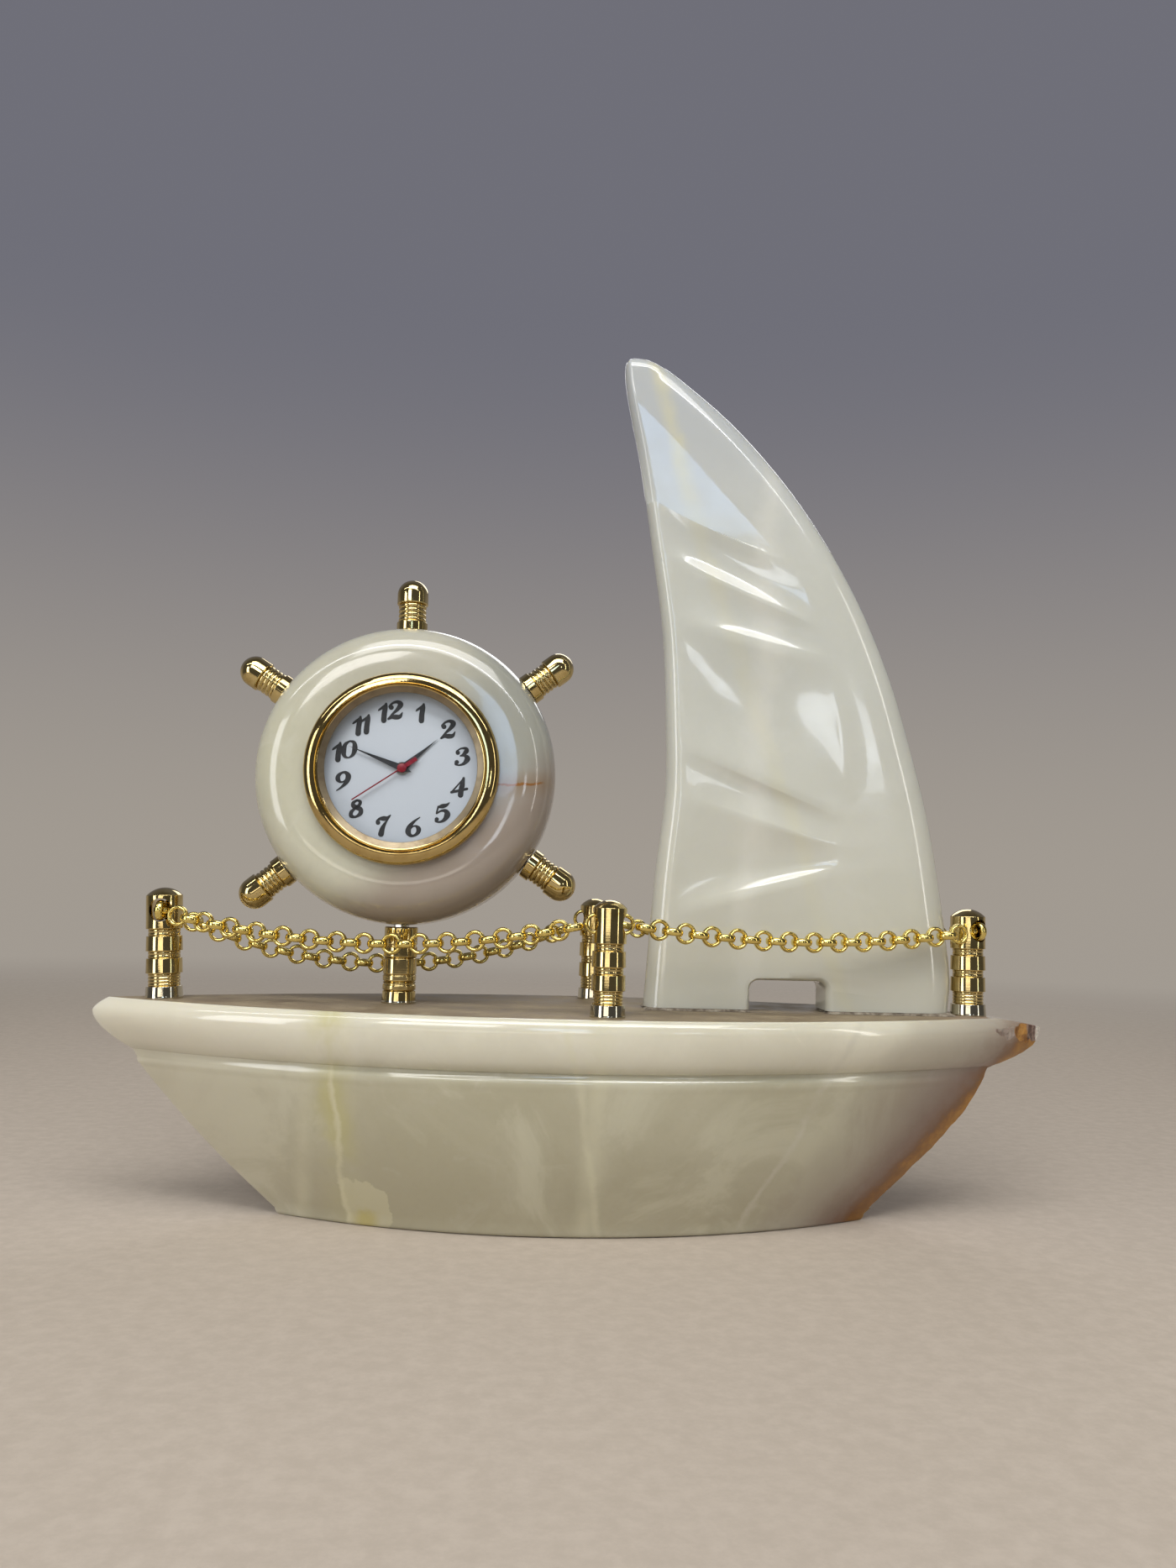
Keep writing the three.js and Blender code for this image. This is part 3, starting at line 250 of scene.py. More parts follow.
# Stage
HORIZON_COLOUR = (0.36, 0.325, 0.285)
WALL_COLOUR = (0.16, 0.16, 0.19)
ROOM_COLOUR = (0.09, 0.086, 0.082)
FLOOR_RADIUS = 1800
FLOOR_FADE = (260, 900)
MIDDLE = (0, 0, 70)
# Each lamp: its place, what it faces, its size, its radiance and its colour
LAMPS = (
    ("ceiling", (0, -430, 800), MIDDLE, (760, 420), 4.7, (1.0, 0.99, 0.97)),
    ("key", (-300, -700, 520), MIDDLE, (300, 220), 6.5, (1.0, 0.98, 0.95)),
    ("facet_window", (-14, -720, 303), (25, 0, 145), (128, 150), 4.1, (0.46, 0.67, 1.0)),
    ("low_window", (23, -720, 160), (45, 0, 98), (64, 100), 4.5, (0.84, 0.91, 1.0)),
    ("side_window", (278, -720, 212), (30, 0, 103), (70, 70), 4.5, (0.84, 0.91, 1.0)),
    ("bar", (-120, -420, 660), MIDDLE, (1500, 30), 11.0, (0.97, 0.98, 1.0)),
    ("left_window", (-640, -460, 200), MIDDLE, (220, 460), 4.0, (0.97, 0.98, 1.0)),
    ("right_strip", (560, -420, 240), MIDDLE, (34, 460), 6.0, (1.0, 0.96, 0.9)),
    ("back", (160, 620, 500), MIDDLE, (420, 300), 2.5, (1.0, 1.0, 1.0)),
    ("low", (-200, -760, 60), MIDDLE, (420, 60), 2.0, (1.0, 0.92, 0.82)),
)

wheel_x = -WHEEL_FORWARD_OF_MIDDLE
stem_height = STEM_COLLAR_HEIGHT + STEM_RING_HEIGHT + STEM_BARREL_HEIGHT + STEM_NECK_HEIGHT
wheel_z = DECK_Z + stem_height + STEM_TO_WHEEL + WHEEL_RADIUS
post_height = (
    POST_FOOT_HEIGHT + POST_RIBBED_HEIGHT + 2 * (POST_BAND_HEIGHT + POST_GROOVE_HEIGHT)
    + POST_HEAD_HEIGHT + POST_DOME_HEIGHT
)
chain_hole_height = post_height - POST_DOME_HEIGHT - CHAIN_HOLE_BELOW_DOME
stern_post_x = HULL_LENGTH / 2 - STERN_POST_FROM_TIP
sail_aft_x = stern_post_x - END_POST_RADIUS - SAIL_FOOT_AFT_CLEARANCE
sail_fore_x = sail_aft_x - SAIL_FOOT_LENGTH
sail_foot_z = DECK_Z + CEMENT_THICKNESS
notch_middle_x = sail_fore_x + NOTCH_FROM_LUFF + NOTCH_WIDTH / 2
side_post_y = HULL_BEAM / 2 - SIDE_POST_FROM_RIM
# Each post: X, Y, radius, lean and the turn of its chain hole
POSTS = {
    "bow": (-HULL_LENGTH / 2 + BOW_POST_FROM_TIP, 0, END_POST_RADIUS, -BOW_POST_LEAN, 0),
    "stern": (stern_post_x, 0, END_POST_RADIUS, 0, STERN_HOLE_TURN),
    "port": (SIDE_POST_AFT_OF_MIDDLE, -side_post_y, SIDE_POST_RADIUS, 0, math.pi / 2),
    "starboard": (SIDE_POST_AFT_OF_MIDDLE, side_post_y, SIDE_POST_RADIUS, 0, math.pi / 2),
}

wheel_matrix = (
    Matrix.Translation((wheel_x, 0, wheel_z))
    @ Matrix.Rotation(-WHEEL_TURN, 4, "Z")
    @ Matrix.Rotation(-WHEEL_TILT_BACK, 4, "X")
)
# Pieces of the insert are made along Z with the wheel's front face at Z = 0, then turned to face -Y
insert_matrix = (
    wheel_matrix
    @ Matrix.Rotation(DIAL_TURN, 4, "Y")
    @ FACE_FORWARD
    @ Matrix.Translation((0, 0, WHEEL_THICKNESS / 2))
)


def lerp(a, b, share):
    return a + (b - a) * share


def quarter(steps):
    """Angles that part a quarter turn into equal steps."""
    return [math.pi / 2 * i / steps for i in range(steps + 1)]


# Materials


class Field:
    """A value that varies over a surface. Sums, products and fades of fields are fields."""

    def __init__(self, shader, socket):
        self.shader, self.socket = shader, socket

    def math(self, operation, other=0.0):
        node = self.shader.node("ShaderNodeMath", {"operation": operation})
        self.shader.feed(node.inputs[0], self)
        self.shader.feed(node.inputs[1], other)
        return Field(self.shader, node.outputs[0])

    def __add__(self, other):
        return self.math("ADD", other)

    def __sub__(self, other):
        return self.math("SUBTRACT", other)

    def __mul__(self, other):
        return self.math("MULTIPLY", other)

    def __abs__(self):
        return self.math("ABSOLUTE")

    def fade(self, start, end, low=0.0, high=1.0):
        """low where the field is at start, high where it is at end, smooth between."""
        node = self.shader.node("ShaderNodeMapRange", {"interpolation_type": "SMOOTHSTEP"}, Value=self,
                                From_Min=start, From_Max=end, To_Min=low, To_Max=high)
        return Field(self.shader, node.outputs["Result"])


class Shader:
    """Builds the nodes of one Principled material, whose base colour is tinted step by step."""

    def __init__(self, name, colour):
        self.material = bpy.data.materials.new(name)
        self.material.use_nodes = True
        self.tree = self.material.node_tree
        self.bsdf = self.tree.nodes["Principled BSDF"]
        self.place = self.node("ShaderNodeTexCoord").outputs["Object"]
        self.colour = colour

    def node(self, kind, settings=None, **inputs):
        node = self.tree.nodes.new(kind)
        for key, value in (settings or {}).items():
            setattr(node, key, value)
        for key, value in inputs.items():
            self.feed(node.inputs[key.replace("_", " ")], value)
        return node

    def feed(self, socket, value):
        value = getattr(value, "socket", value)
        if isinstance(value, bpy.types.NodeSocket):
            self.tree.links.new(value, socket)
        else:
            socket.default_value = (*value, 1) if socket.type == "RGBA" else value

    def set(self, **inputs):
        for key, value in inputs.items():
            self.feed(self.bsdf.inputs[key.replace("_", " ")], value)

    def noise(self, scale, detail=3.0, roughness=0.5, distortion=0.0, place=None):
        node = self.node("ShaderNodeTexNoise", Scale=scale, Detail=detail, Roughness=roughness,
                         Distortion=distortion, Vector=place or self.place)
        return Field(self, node.outputs["Fac"])

    def wobble(self, scale, detail, roughness, size):
        """Noise about zero, in mm."""
        return (self.noise(scale, detail, roughness) - 0.5) * size

    def mix(self, share, a, b):
        node = self.node("ShaderNodeMix", {"data_type": "RGBA"})
        for place, value in ((0, share), (6, a), (7, b)):
            self.feed(node.inputs[place], value)
        return node.outputs[2]

    def tint(self, share, colour):
        """Covers a share of the base colour."""
        self.colour = self.mix(share, self.colour, colour)

    def axes(self):
        """The place in mm."""
        node = self.node("ShaderNodeSeparateXYZ", Vector=self.place)
        return [Field(self, output).math("DIVIDE", MM) for output in node.outputs]

    def bump(self, height, strength, distance):
        node = self.node("ShaderNodeBump", Height=height, Strength=strength, Distance=distance)
        self.set(Normal=node.outputs["Normal"])

    def done(self, **inputs):
        self.set(Base_Color=self.colour, **inputs)
        return self.material


def stone(name):
    """Polished green-cream onyx: cloudy, waxy and a little translucent."""
    shader = Shader(name, (0.50, 0.485, 0.365))
    clouds = shader.noise(38, 5, 0.55, 0.6).fade(0.36, 0.66)
    mist = shader.noise(95, 4, 0.6, 1.5).fade(0.55, 0.78, 0, 0.45)
    grain = shader.noise(900, 2).fade(0.4, 0.75, 0, 0.10)
    shader.tint(clouds, (0.64, 0.625, 0.50))
    shader.tint(mist, (0.72, 0.71, 0.62))
    shader.tint(grain, (0.34, 0.31, 0.22))
    shader.set(IOR=1.5, Subsurface_Weight=0.22, Subsurface_Scale=0.006, Subsurface_Radius=(1.0, 0.85, 0.5))
    shader.set(Coat_Weight=0.6, Coat_Roughness=0.035)
    shader.set(Roughness=shader.noise(160, 4).fade(0.35, 0.75, 0.09, 0.22))
    waves, pits = shader.noise(55, 2), shader.noise(1500, 2)
    shader.bump(waves + pits * 0.012, 0.12, 0.0012)
    return shader


def vein(shader, tint, across, width, wobble, strength, where=None, patchy=0.5):
    """A sheet of another tint through the stone, where across is near 0 mm. Patchy veins come and go."""
    drift = shader.wobble(42, 3, 0.5, wobble) + shader.wobble(260, 5, 0.65, wobble * 0.35)
    share = abs(across + drift).fade(0, width, strength, 0)
    share = share * shader.noise(110, 4).fade(0.34, 0.60, 1 - patchy, 1)
    shader.tint(share if where is None else share * where, tint)


def sheet(x, z, start, slope):
    """Millimetres aft of a sheet through the stone that crosses the table at start."""
    return x - start - z * slope


def hull_material():
    shader = stone("onyx_hull")
    x, _, z = shader.axes()
    below_ledge, low = z.fade(31.5, 27, 0, 0.6), z.fade(26, 4, 0, 0.3)
    milk = shader.noise(34, 5, 0.6, 1.2).fade(0.47, 0.62, 0, 0.5)
    bow, rim = x.fade(-40, -88, 0, 0.7), z.fade(30.5, 33, 0, 0.55)
    shader.tint(below_ledge, (0.40, 0.36, 0.24))
    shader.tint(low, (0.36, 0.325, 0.225))
    shader.tint(milk, (0.60, 0.58, 0.44))
    shader.tint(bow, (0.60, 0.56, 0.44))
    shader.tint(rim, (0.76, 0.72, 0.60))
    # The stern is mauve-grey behind a slanting pale seam
    behind = sheet(x, z, 31, 0.7) + shader.wobble(70, 4, 0.5, 10)
    shader.tint(behind.fade(-1, 5, 0, 0.35), (0.38, 0.34, 0.27))
    shader.tint(behind.fade(0, 28, 0, 0.95) * z.fade(29, 33, 1, 0.45), (0.24, 0.175, 0.15))
    # A yellow vein with a pale line in it
    vein(shader, (0.52, 0.48, 0.20), sheet(x, z, -43.2, -0.08), 6, 7, 0.6, z.fade(8, 20, 0.25, 1), 0.85)
    vein(shader, (0.62, 0.59, 0.40), sheet(x, z, -42.6, -0.09), 0.9, 5, 0.85)
    # A sharp-edged flake at the foot of that vein, amber in the middle
    jag = shader.wobble(280, 4, 0.6, 5)
    below = (z + jag + x * 0.22).fade(0.3, -0.2)
    beside = abs(sheet(x, z, -37.6, -0.25) + jag).fade(4.2, 3.8)
    shader.tint(below * beside * 0.6, (0.60, 0.565, 0.38))
    inner = abs(sheet(x, z, -39, 0)).fade(3.4, 0.5, 0, 0.6)
    shader.tint((z + jag).fade(4.4, 1.5) * inner, (0.46, 0.38, 0.08))
    for start, slope, width, wobble in ((-51.5, 0.06, 2.6, 4), (1.6, 0.02, 3.6, 6), (4.4, -0.2, 1.2, 5)):
        vein(shader, (0.66, 0.635, 0.46), sheet(x, z, start, slope), width, wobble, 0.4)
    vein(shader, (0.60, 0.575, 0.48), sheet(x, z, 31, 0.5), 1.2, 8, 0.6, patchy=0.8)
    # Rust along the worn stern edge: a brown halo, brown rust, and amber at the very edge
    inward = z * 0.98 + 57.3 - x + shader.wobble(260, 6, 0.7, 6)
    halo, rust = inward.fade(17, 4, 0, 0.8), inward.fade(8.5, 3.5)
    patches = shader.noise(380, 5, 0.65).fade(0.35, 0.65, 0.45, 1)
    amber = inward.fade(6, 2) * (z.fade(2, 16, 0.35, 1) * patches)
    shader.tint(halo, (0.19, 0.10, 0.06))
    shader.tint(rust * 0.9, shader.mix(amber, (0.20, 0.085, 0.02), (0.46, 0.215, 0.025)))
    return shader.done(Coat_Weight=rust.fade(0, 1, 0.6, 0))


def deck_material():
    """The sawn, dusty top of the hull, browner towards the stern."""
    shader = Shader("onyx_deck", (0.195, 0.145, 0.085))
    dust = shader.noise(150, 6, 0.7).fade(0.35, 0.7)
    spots = shader.noise(900, 3, 0.7).fade(0.60, 0.72, 0, 0.7)
    shader.tint(dust, (0.32, 0.26, 0.17))
    shader.tint(spots, (0.16, 0.11, 0.07))
    shader.tint(shader.axes()[0].fade(60, 90, 0, 0.7), (0.26, 0.17, 0.12))
    shader.bump(shader.noise(1400, 4, 0.7), 0.35, 0.0004)
    return shader.done(Roughness=dust.fade(0, 1, 0.55, 0.85))


def broken_material():
    """Broken stone at the stern: rose, a band of rust, a brown hollow, and a pale sliver at the tip."""
    shader = Shader("onyx_broken", (0.24, 0.175, 0.14))
    x, _, z = shader.axes()
    patches = shader.noise(420, 6, 0.65, 1).fade(0.38, 0.62)
    rust = shader.mix(patches, (0.26, 0.115, 0.03), (0.50, 0.25, 0.06))
    hollow = shader.mix(patches, (0.10, 0.055, 0.04), (0.34, 0.24, 0.19))
    aft = x + shader.wobble(380, 5, 0.6, 2)
    shader.tint(patches, (0.42, 0.34, 0.28))
    shader.tint(aft.fade(86.2, 86.6), rust)
    shader.tint(aft.fade(89.4, 90), hollow)
    shader.tint(x.fade(91.9, 92.3), (0.66, 0.60, 0.52))
    shader.tint(z.fade(34, 31.5), rust)
    shader.bump(shader.noise(700, 6, 0.7), 0.7, 0.0010)
    return shader.done(Roughness=0.45, Subsurface_Weight=0.1, Subsurface_Scale=0.003)


def sail_material():
    shader = stone("onyx_sail")
    x, _, z = shader.axes()
    shader.tint(0.75, (0.58, 0.595, 0.555))
    shader.tint(z.fade(125, 165, 0, 0.8), (0.46, 0.485, 0.50))
    shader.tint(z.fade(110, 45, 0, 0.5), (0.60, 0.57, 0.45))
    vein(shader, (0.66, 0.62, 0.38), sheet(x, z, 66, -0.32), 3, 6, 0.5, z.fade(130, 155, 0.45, 1))
    vein(shader, (0.74, 0.73, 0.66), sheet(x, z, 30, 0.05), 4, 12, 0.35)
    return shader.done()


def ring_material():
    """The wheel: cream, with mauve-brown stone at the bottom and a rust-filled crack on the right. It is
    paler on the left and darker grey-green on the right, partly the stone's tone and partly painted light
    and shade.
    """
    shader = stone("onyx_ring")
    x, _, z = shader.axes()
    shader.tint(0.35, (0.40, 0.385, 0.305))
    # Partly painted light: the left side is paler, as if lit from the left, over the stone's greenish cream
    shader.tint(x.fade(-60, -30, 0.4, 0), (0.58, 0.57, 0.43))
    shader.tint(z.fade(wheel_z + 4, wheel_z + 24, 0, 0.45), (0.40, 0.385, 0.33))
    rightward = x - wheel_x + shader.wobble(45, 4, 0.5, 14)
    low = rightward * 0.75 - (z - wheel_z)
    # Partly painted shade: the right side is darker, away from the light, over the stone's grey-green
    shader.tint(rightward.fade(4, 20, 0, 0.85), (0.31, 0.315, 0.28))
    shader.tint(low.fade(11, 25, 0, 0.85), (0.31, 0.25, 0.205))
    crack = z - (x * 0.10 + 84.4) + shader.wobble(420, 4, 0.7, 1.3)
    right = x.fade(-19.5, -16)
    before_rim = x.fade(-8.2, -9.6)
    vein(shader, (0.25, 0.165, 0.09), crack, 3.4, 2.4, 0.55, right)
    shader.tint(abs(crack).fade(0.12, 0.34, 0.9, 0) * (right * before_rim), (0.27, 0.11, 0.02))
    return shader.done()


def metal(name, light, dark, roughness, turning=None):
    """Polished metal with faint tarnish. turning is the spacing in mm of lathe marks along Z."""
    shader = Shader(name, light)
    tarnish = shader.noise(260, 5, 0.6).fade(0.42, 0.72)
    smears = shader.noise(520, 4, 0.6).fade(0.35, 0.8, roughness, roughness + 0.08)
    shader.tint(tarnish, dark)
    if turning:
        z = shader.node("ShaderNodeSeparateXYZ", Vector=shader.place).outputs[2]
        marks = shader.node("ShaderNodeCombineXYZ", Z=z).outputs[0]
        shader.bump(shader.noise(1 / (turning * MM), 1, place=marks), 0.10, 0.00003)
    else:
        shader.bump(shader.noise(1800, 2), 0.06, 0.0001)
    return shader.done(Metallic=1.0, Roughness=smears)


def cement_material():
    shader = Shader("cement", (0.13, 0.10, 0.07))
    shader.tint(shader.noise(480, 6, 0.7).fade(0.35, 0.7), (0.42, 0.37, 0.29))
    shader.bump(shader.noise(1600, 5, 0.7), 0.8, 0.0004)
    return shader.done(Roughness=0.85)


def dial_material():
    shader = Shader("dial_paint", (0.56, 0.615, 0.68))
    shader.tint(shader.noise(60), (0.595, 0.65, 0.71))
    shader.bump(shader.noise(3000, 2), 0.04, 0.00005)
    return shader.done(Roughness=0.42)


def glass_material():
    shader = Shader("crystal_glass", (0.05, 0.06, 0.06))
    return shader.done(Roughness=shader.noise(120).fade(0.4, 0.7, 0.02, 0.06), Alpha=0.05, IOR=1.5)


def coated(name, colour, shade, roughness):
    """Paint, plastic or rubber: a mottled colour with a fine skin."""
    shader = Shader(name, colour)
    shader.tint(shader.noise(700, 4, 0.6).fade(0.4, 0.7), shade)
    shader.bump(shader.noise(2100, 2), 0.05, 0.0001)
    return shader.done(Roughness=shader.noise(420).fade(0.3, 0.7, roughness, roughness + 0.1))


BRASS_LIGHT = (0.64, 0.51, 0.24)
BRASS_DARK = (0.50, 0.37, 0.14)
INK_COLOUR = (0.012, 0.012, 0.014)
onyx_hull = hull_material()
onyx_deck = deck_material()
onyx_broken = broken_material()
onyx_sail = sail_material()
onyx_ring = ring_material()
brass = metal("brass", BRASS_LIGHT, BRASS_DARK, 0.045, 0.35)
brass_foot = metal("brass_foot", (0.63, 0.585, 0.46), (0.52, 0.47, 0.35), 0.045, 0.35)
brass_bezel = metal("brass_bezel", (0.56, 0.42, 0.18), (0.46, 0.32, 0.12), 0.04)
# Painted shade: a dark copy of the bezel brass for the recessed wall inside the ridge
brass_wall_painted_shade = metal("brass_wall_painted_shade", (0.24, 0.195, 0.13), (0.18, 0.14, 0.09), 0.38)
brass_case = metal("brass_case", BRASS_LIGHT, BRASS_DARK, 0.25)
gold = metal("chain_gold", (0.84, 0.67, 0.22), (0.70, 0.53, 0.15), 0.10)
steel = metal("steel", (0.62, 0.62, 0.61), (0.54, 0.535, 0.525), 0.22)
cement = cement_material()
dial_paint = dial_material()
crystal_glass = glass_material()
black_paint = coated("black_paint", INK_COLOUR, (0.03, 0.03, 0.032), 0.25)
ink = coated("numeral_ink", INK_COLOUR, (0.025, 0.025, 0.028), 0.5)
red_paint = coated("red_paint", (0.26, 0.003, 0.016), (0.18, 0.002, 0.010), 0.22)
plastic = coated("movement_plastic", (0.68, 0.67, 0.63), (0.60, 0.59, 0.55), 0.45)
rubber = coated("grip_rubber", (0.03, 0.03, 0.032), (0.05, 0.05, 0.052), 0.7)
STONE_SLOTS = (onyx_hull, onyx_deck, onyx_broken)
BRASS_SLOTS = (brass, brass_foot)

# Meshes


def make_mesh(name, points, faces, matrix=None, materials=(), slots=None):
    """An object from millimetre points. matrix is the object's own frame, also in millimetres."""
    mesh = bpy.data.meshes.new(name)
    mesh.from_pydata([Vector(p) * MM for p in points], [], faces)
    for material in materials:
        mesh.materials.append(material)
    if slots:
        mesh.polygons.foreach_set("material_index", slots)
    obj = bpy.data.objects.new(name, mesh)
    bpy.context.scene.collection.objects.link(obj)
    if matrix is not None:
        place, turn, _ = matrix.decompose()
        obj.matrix_world = Matrix.LocRotScale(place * MM, turn, None)
    return obj


def make_solid(*parts):
    """The same for a closed mesh, whose faces are all turned outwards."""
    obj = make_mesh(*parts)
    work = bmesh.new()
    work.from_mesh(obj.data)
    bmesh.ops.recalc_face_normals(work, faces=work.faces)
    work.to_mesh(obj.data)
    work.free()
    return obj


def finish_piece(obj, body, replaces=(), angle=32):
    """Smooth shading with edges sharper than the angle kept crisp; the piece rides on its body, and the CAD
    parts it replaces are hidden.
    """
    mesh = obj.data
    mesh.polygons.foreach_set("use_smooth", [True] * len(mesh.polygons))
    mesh.set_sharp_from_angle(angle=math.radians(angle))
    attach(obj, body)
    if replaces:
        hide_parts(*replaces)


def carve(obj, *cutters):
    """Cuts the cutters out of obj. New faces take the material slot that the cutter's faces have."""
    for cutter in cutters:
        modifier = obj.modifiers.new("cut", "BOOLEAN")
        modifier.operation = "DIFFERENCE"
        modifier.solver = "EXACT"
        modifier.object = cutter
    view = bpy.context.evaluated_depsgraph_get()
    mesh = bpy.data.meshes.new_from_object(obj.evaluated_get(view))
    obj.modifiers.clear()
    old = obj.data
    obj.data = mesh
    bpy.data.meshes.remove(old)
    for cutter in cutters:
        bpy.data.objects.remove(cutter)


def turned(profile, steps, closed=False):
    """Points and faces of a solid of revolution about Z, from (radius, height) points listed upwards.
    A closed profile goes on from its last point to its first."""
    points, rings = [], []
    for radius, height in profile:
        if radius < 1e-6:
            rings.append([len(points)] * steps)
            points.append((0, 0, height))
        else:
            rings.append(list(range(len(points), len(points) + steps)))
            for i in range(steps):
                angle = math.tau * i / steps
                points.append((radius * math.cos(angle), radius * math.sin(angle), height))
    faces = []
    for low, high in zip(rings, rings[1:] + (rings[:1] if closed else [])):
        for i in range(steps):
            j = (i + 1) % steps
            corners = [low[i], low[j], high[j], high[i]]
            face = [c for k, c in enumerate(corners) if c != corners[k - 1]]
            if len(face) > 2:
                faces.append(face)
    return points, faces


def softened(profile, radius):
    """The profile with rounded corners, and points that keep the straights between them straight."""
    result = [profile[0]]
    for before, corner, after in zip(profile, profile[1:], profile[2:]):
        corner = Vector(corner)
        back, ahead = Vector(before) - corner, Vector(after) - corner
        start = corner + back.normalized() * min(radius, back.length * 0.35)
        end = corner + ahead.normalized() * min(radius, ahead.length * 0.35)
        result.append(tuple(start + back.normalized() * min(radius, back.length * 0.1)))
        for share in (0, 0.25, 0.5, 0.75, 1):
            result.append(tuple(start.lerp(corner, share).lerp(corner.lerp(end, share), share)))
        result.append(tuple(end + ahead.normalized() * min(radius, ahead.length * 0.1)))
    result.append(profile[-1])
    return result


def loft(outlines):
    """Points and faces through closed outlines of equally many points, with both ends closed."""
    count = len(outlines[0])
    points = [point for outline in outlines for point in outline]
    faces = []
    for level in range(len(outlines) - 1):
        for i in range(count):
            a, b = level * count + i, level * count + (i + 1) % count
            faces.append([a, b, b + count, a + count])
    faces.append(list(range(count))[::-1])
    faces.append(list(range(len(points) - count, len(points))))
    return points, faces


# Hull


def pointed_oval(half_length, half_beam, z):
    """Two arcs that meet at the bow and the stern, anticlockwise from above, starting at the bow."""
    radius = (half_length**2 + half_beam**2) / (2 * half_beam)
    reach = math.asin(half_length / radius)
    points = []
    for sign in (1, -1):
        for i in range(HULL_SIDE_STEPS):
            angle = sign * reach * (2 * i / HULL_SIDE_STEPS - 1)
            offset = radius * math.cos(angle) - (radius - half_beam)
            points.append((radius * math.sin(angle), -sign * offset, z))
    return points


def levels_between(start, end, steps, *shares):
    """Levels from start to end, each (half length, half beam, z); the shares are functions of an angle."""
    return [tuple(lerp(a, b, share(angle)) for a, b, share in zip(start, end, shares))
            for angle in quarter(steps)]


def late(angle):
    """A share that starts slowly."""
    return 1 - math.cos(angle)


def hull_levels():
    rim = (HULL_LENGTH / 2, HULL_BEAM / 2, DECK_Z - DECK_EDGE_DROP)
    cove = (rim[0] - COVE_TIP_INSET, rim[1] - COVE_SIDE_INSET, DECK_Z - COVE_DROP)
    ridge = (rim[0] - RIDGE_TIP_INSET, rim[1] - RIDGE_SIDE_INSET, DECK_Z - RIDGE_DROP)
    body = (rim[0] - BODY_TIP_INSET, rim[1] - BODY_SIDE_INSET, ridge[2] - RIDGE_BAND)
    bottom = (BOTTOM_LENGTH / 2, BOTTOM_BEAM / 2, BOTTOM_EDGE_RADIUS)
    foot = (bottom[0] - BOTTOM_EDGE_RADIUS, bottom[1] - BOTTOM_EDGE_RADIUS, 0)
    deck = (rim[0] - DECK_TIP_INSET, rim[1] - DECK_EDGE_INSET, DECK_Z)
    levels = levels_between(foot, bottom, 4, math.sin, math.sin, late)
    for i in range(1, HULL_BODY_STEPS):
        share = i / HULL_BODY_STEPS
        bulge = BODY_BULGE * math.sin(math.pi * share)
        length, beam, z = (lerp(a, b, share) for a, b in zip(bottom, body))
        levels.append((length + bulge, beam + bulge, z))
    # The body flows into a band, and the band's ledge meets the cove in a hollow
    for up, out in RIDGE_SECTION:
        tuck = RIDGE_TIP_TUCK * max(0, out - 0.9)
        levels.append((lerp(body[0], ridge[0], min(out, 1)) - tuck,
                       lerp(body[1], ridge[1], out), lerp(body[2], ridge[2], up)))
    for up, out in LEDGE_SECTION:
        levels.append((lerp(ridge[0], cove[0], up),
                       lerp(cove[1], ridge[1], out), lerp(ridge[2], cove[2], up)))
    levels += levels_between(cove, rim, 14, lambda a: 1 - math.cos(a) ** TIP_FULLNESS, math.sin, late)
    levels += levels_between(rim, deck, 10, lambda a: math.sin(a) ** TIP_FULLNESS, late, math.sin)[1:]
    return levels


def half_length_at(z):
    levels = hull_levels()
    for low, high in zip(levels, levels[1:]):
        if low[2] <= z <= high[2] and high[2] > low[2]:
            return lerp(low[0], high[0], (z - low[2]) / (high[2] - low[2]))
    return levels[-1][0]


def stone_cutter(name, rows, slot):
    points, faces = loft(rows)
    return make_solid(name, points, faces, None, STONE_SLOTS, [slot] * len(faces))


def wear_cutter():
    """Everything aft of the worn line, with a rough face."""
    foot_z = 2 * BOTTOM_EDGE_RADIUS
    line = [(half_length_at(DECK_Z - below) - setback, DECK_Z - below) for below, setback in WORN_STERN]
    line.append((half_length_at(foot_z) - WORN_AT_FOOT, foot_z))
    fine = []
    for start, end in zip(line, line[1:]):
        steps = max(1, round(math.dist(start, end) / WEAR_STEP))
        fine += [tuple(lerp(a, b, i / steps) for a, b in zip(start, end)) for i in range(steps)]
    fine.append(line[-1])
    behind = HULL_LENGTH / 2 + 2
    rows = []
    for y in range(-WEAR_REACH, WEAR_REACH + 1):
        row = []
        for x, z in fine:
            shift = noise.noise_vector(Vector((x, y, z)) * WEAR_GRAIN)
            row.append((x + WEAR_ROUGHNESS * shift.x, y, z + WEAR_ROUGHNESS * shift.z))
        rows.append(row + [(behind, y, fine[-1][1]), (behind, y, fine[0][1] - 0.01)])
    return stone_cutter("wear", rows, 2)


def chip_cutter():
    """The port cheek of the stern tip is broken away along a rough face."""
    half = HULL_LENGTH / 2
    radius = (HULL_LENGTH**2 + HULL_BEAM**2) / (4 * HULL_BEAM)
    start_x = half - CHIP_LENGTH
    start = Vector((start_x, -(math.sqrt(radius**2 - start_x**2) - (radius - HULL_BEAM / 2)), 0))
    along = (Vector((half - CHIP_SETBACK, CHIP_PAST_MIDDLE, 0)) - start).normalized()
    out = Vector((along.y, -along.x, 0))
    rows = []
    for i in range(-8, 24):
        row = []
        for j in range(CUTTER_STEPS + 1):
            down = (CHIP_HEIGHT + 1) * j / CUTTER_STEPS
            place = start + along * i + Vector((0, 0, DECK_Z + 1 - down))
            shift = sum(noise.noise(place * scale) * height for scale, height in CHIP_WAVES)
            row.append(tuple(place + out * (shift - CHIP_INWARD)))
        rows.append(row + [tuple(Vector(row[end]) + out * 30) for end in (-1, 0)])
    return stone_cutter("chip", rows, 2)


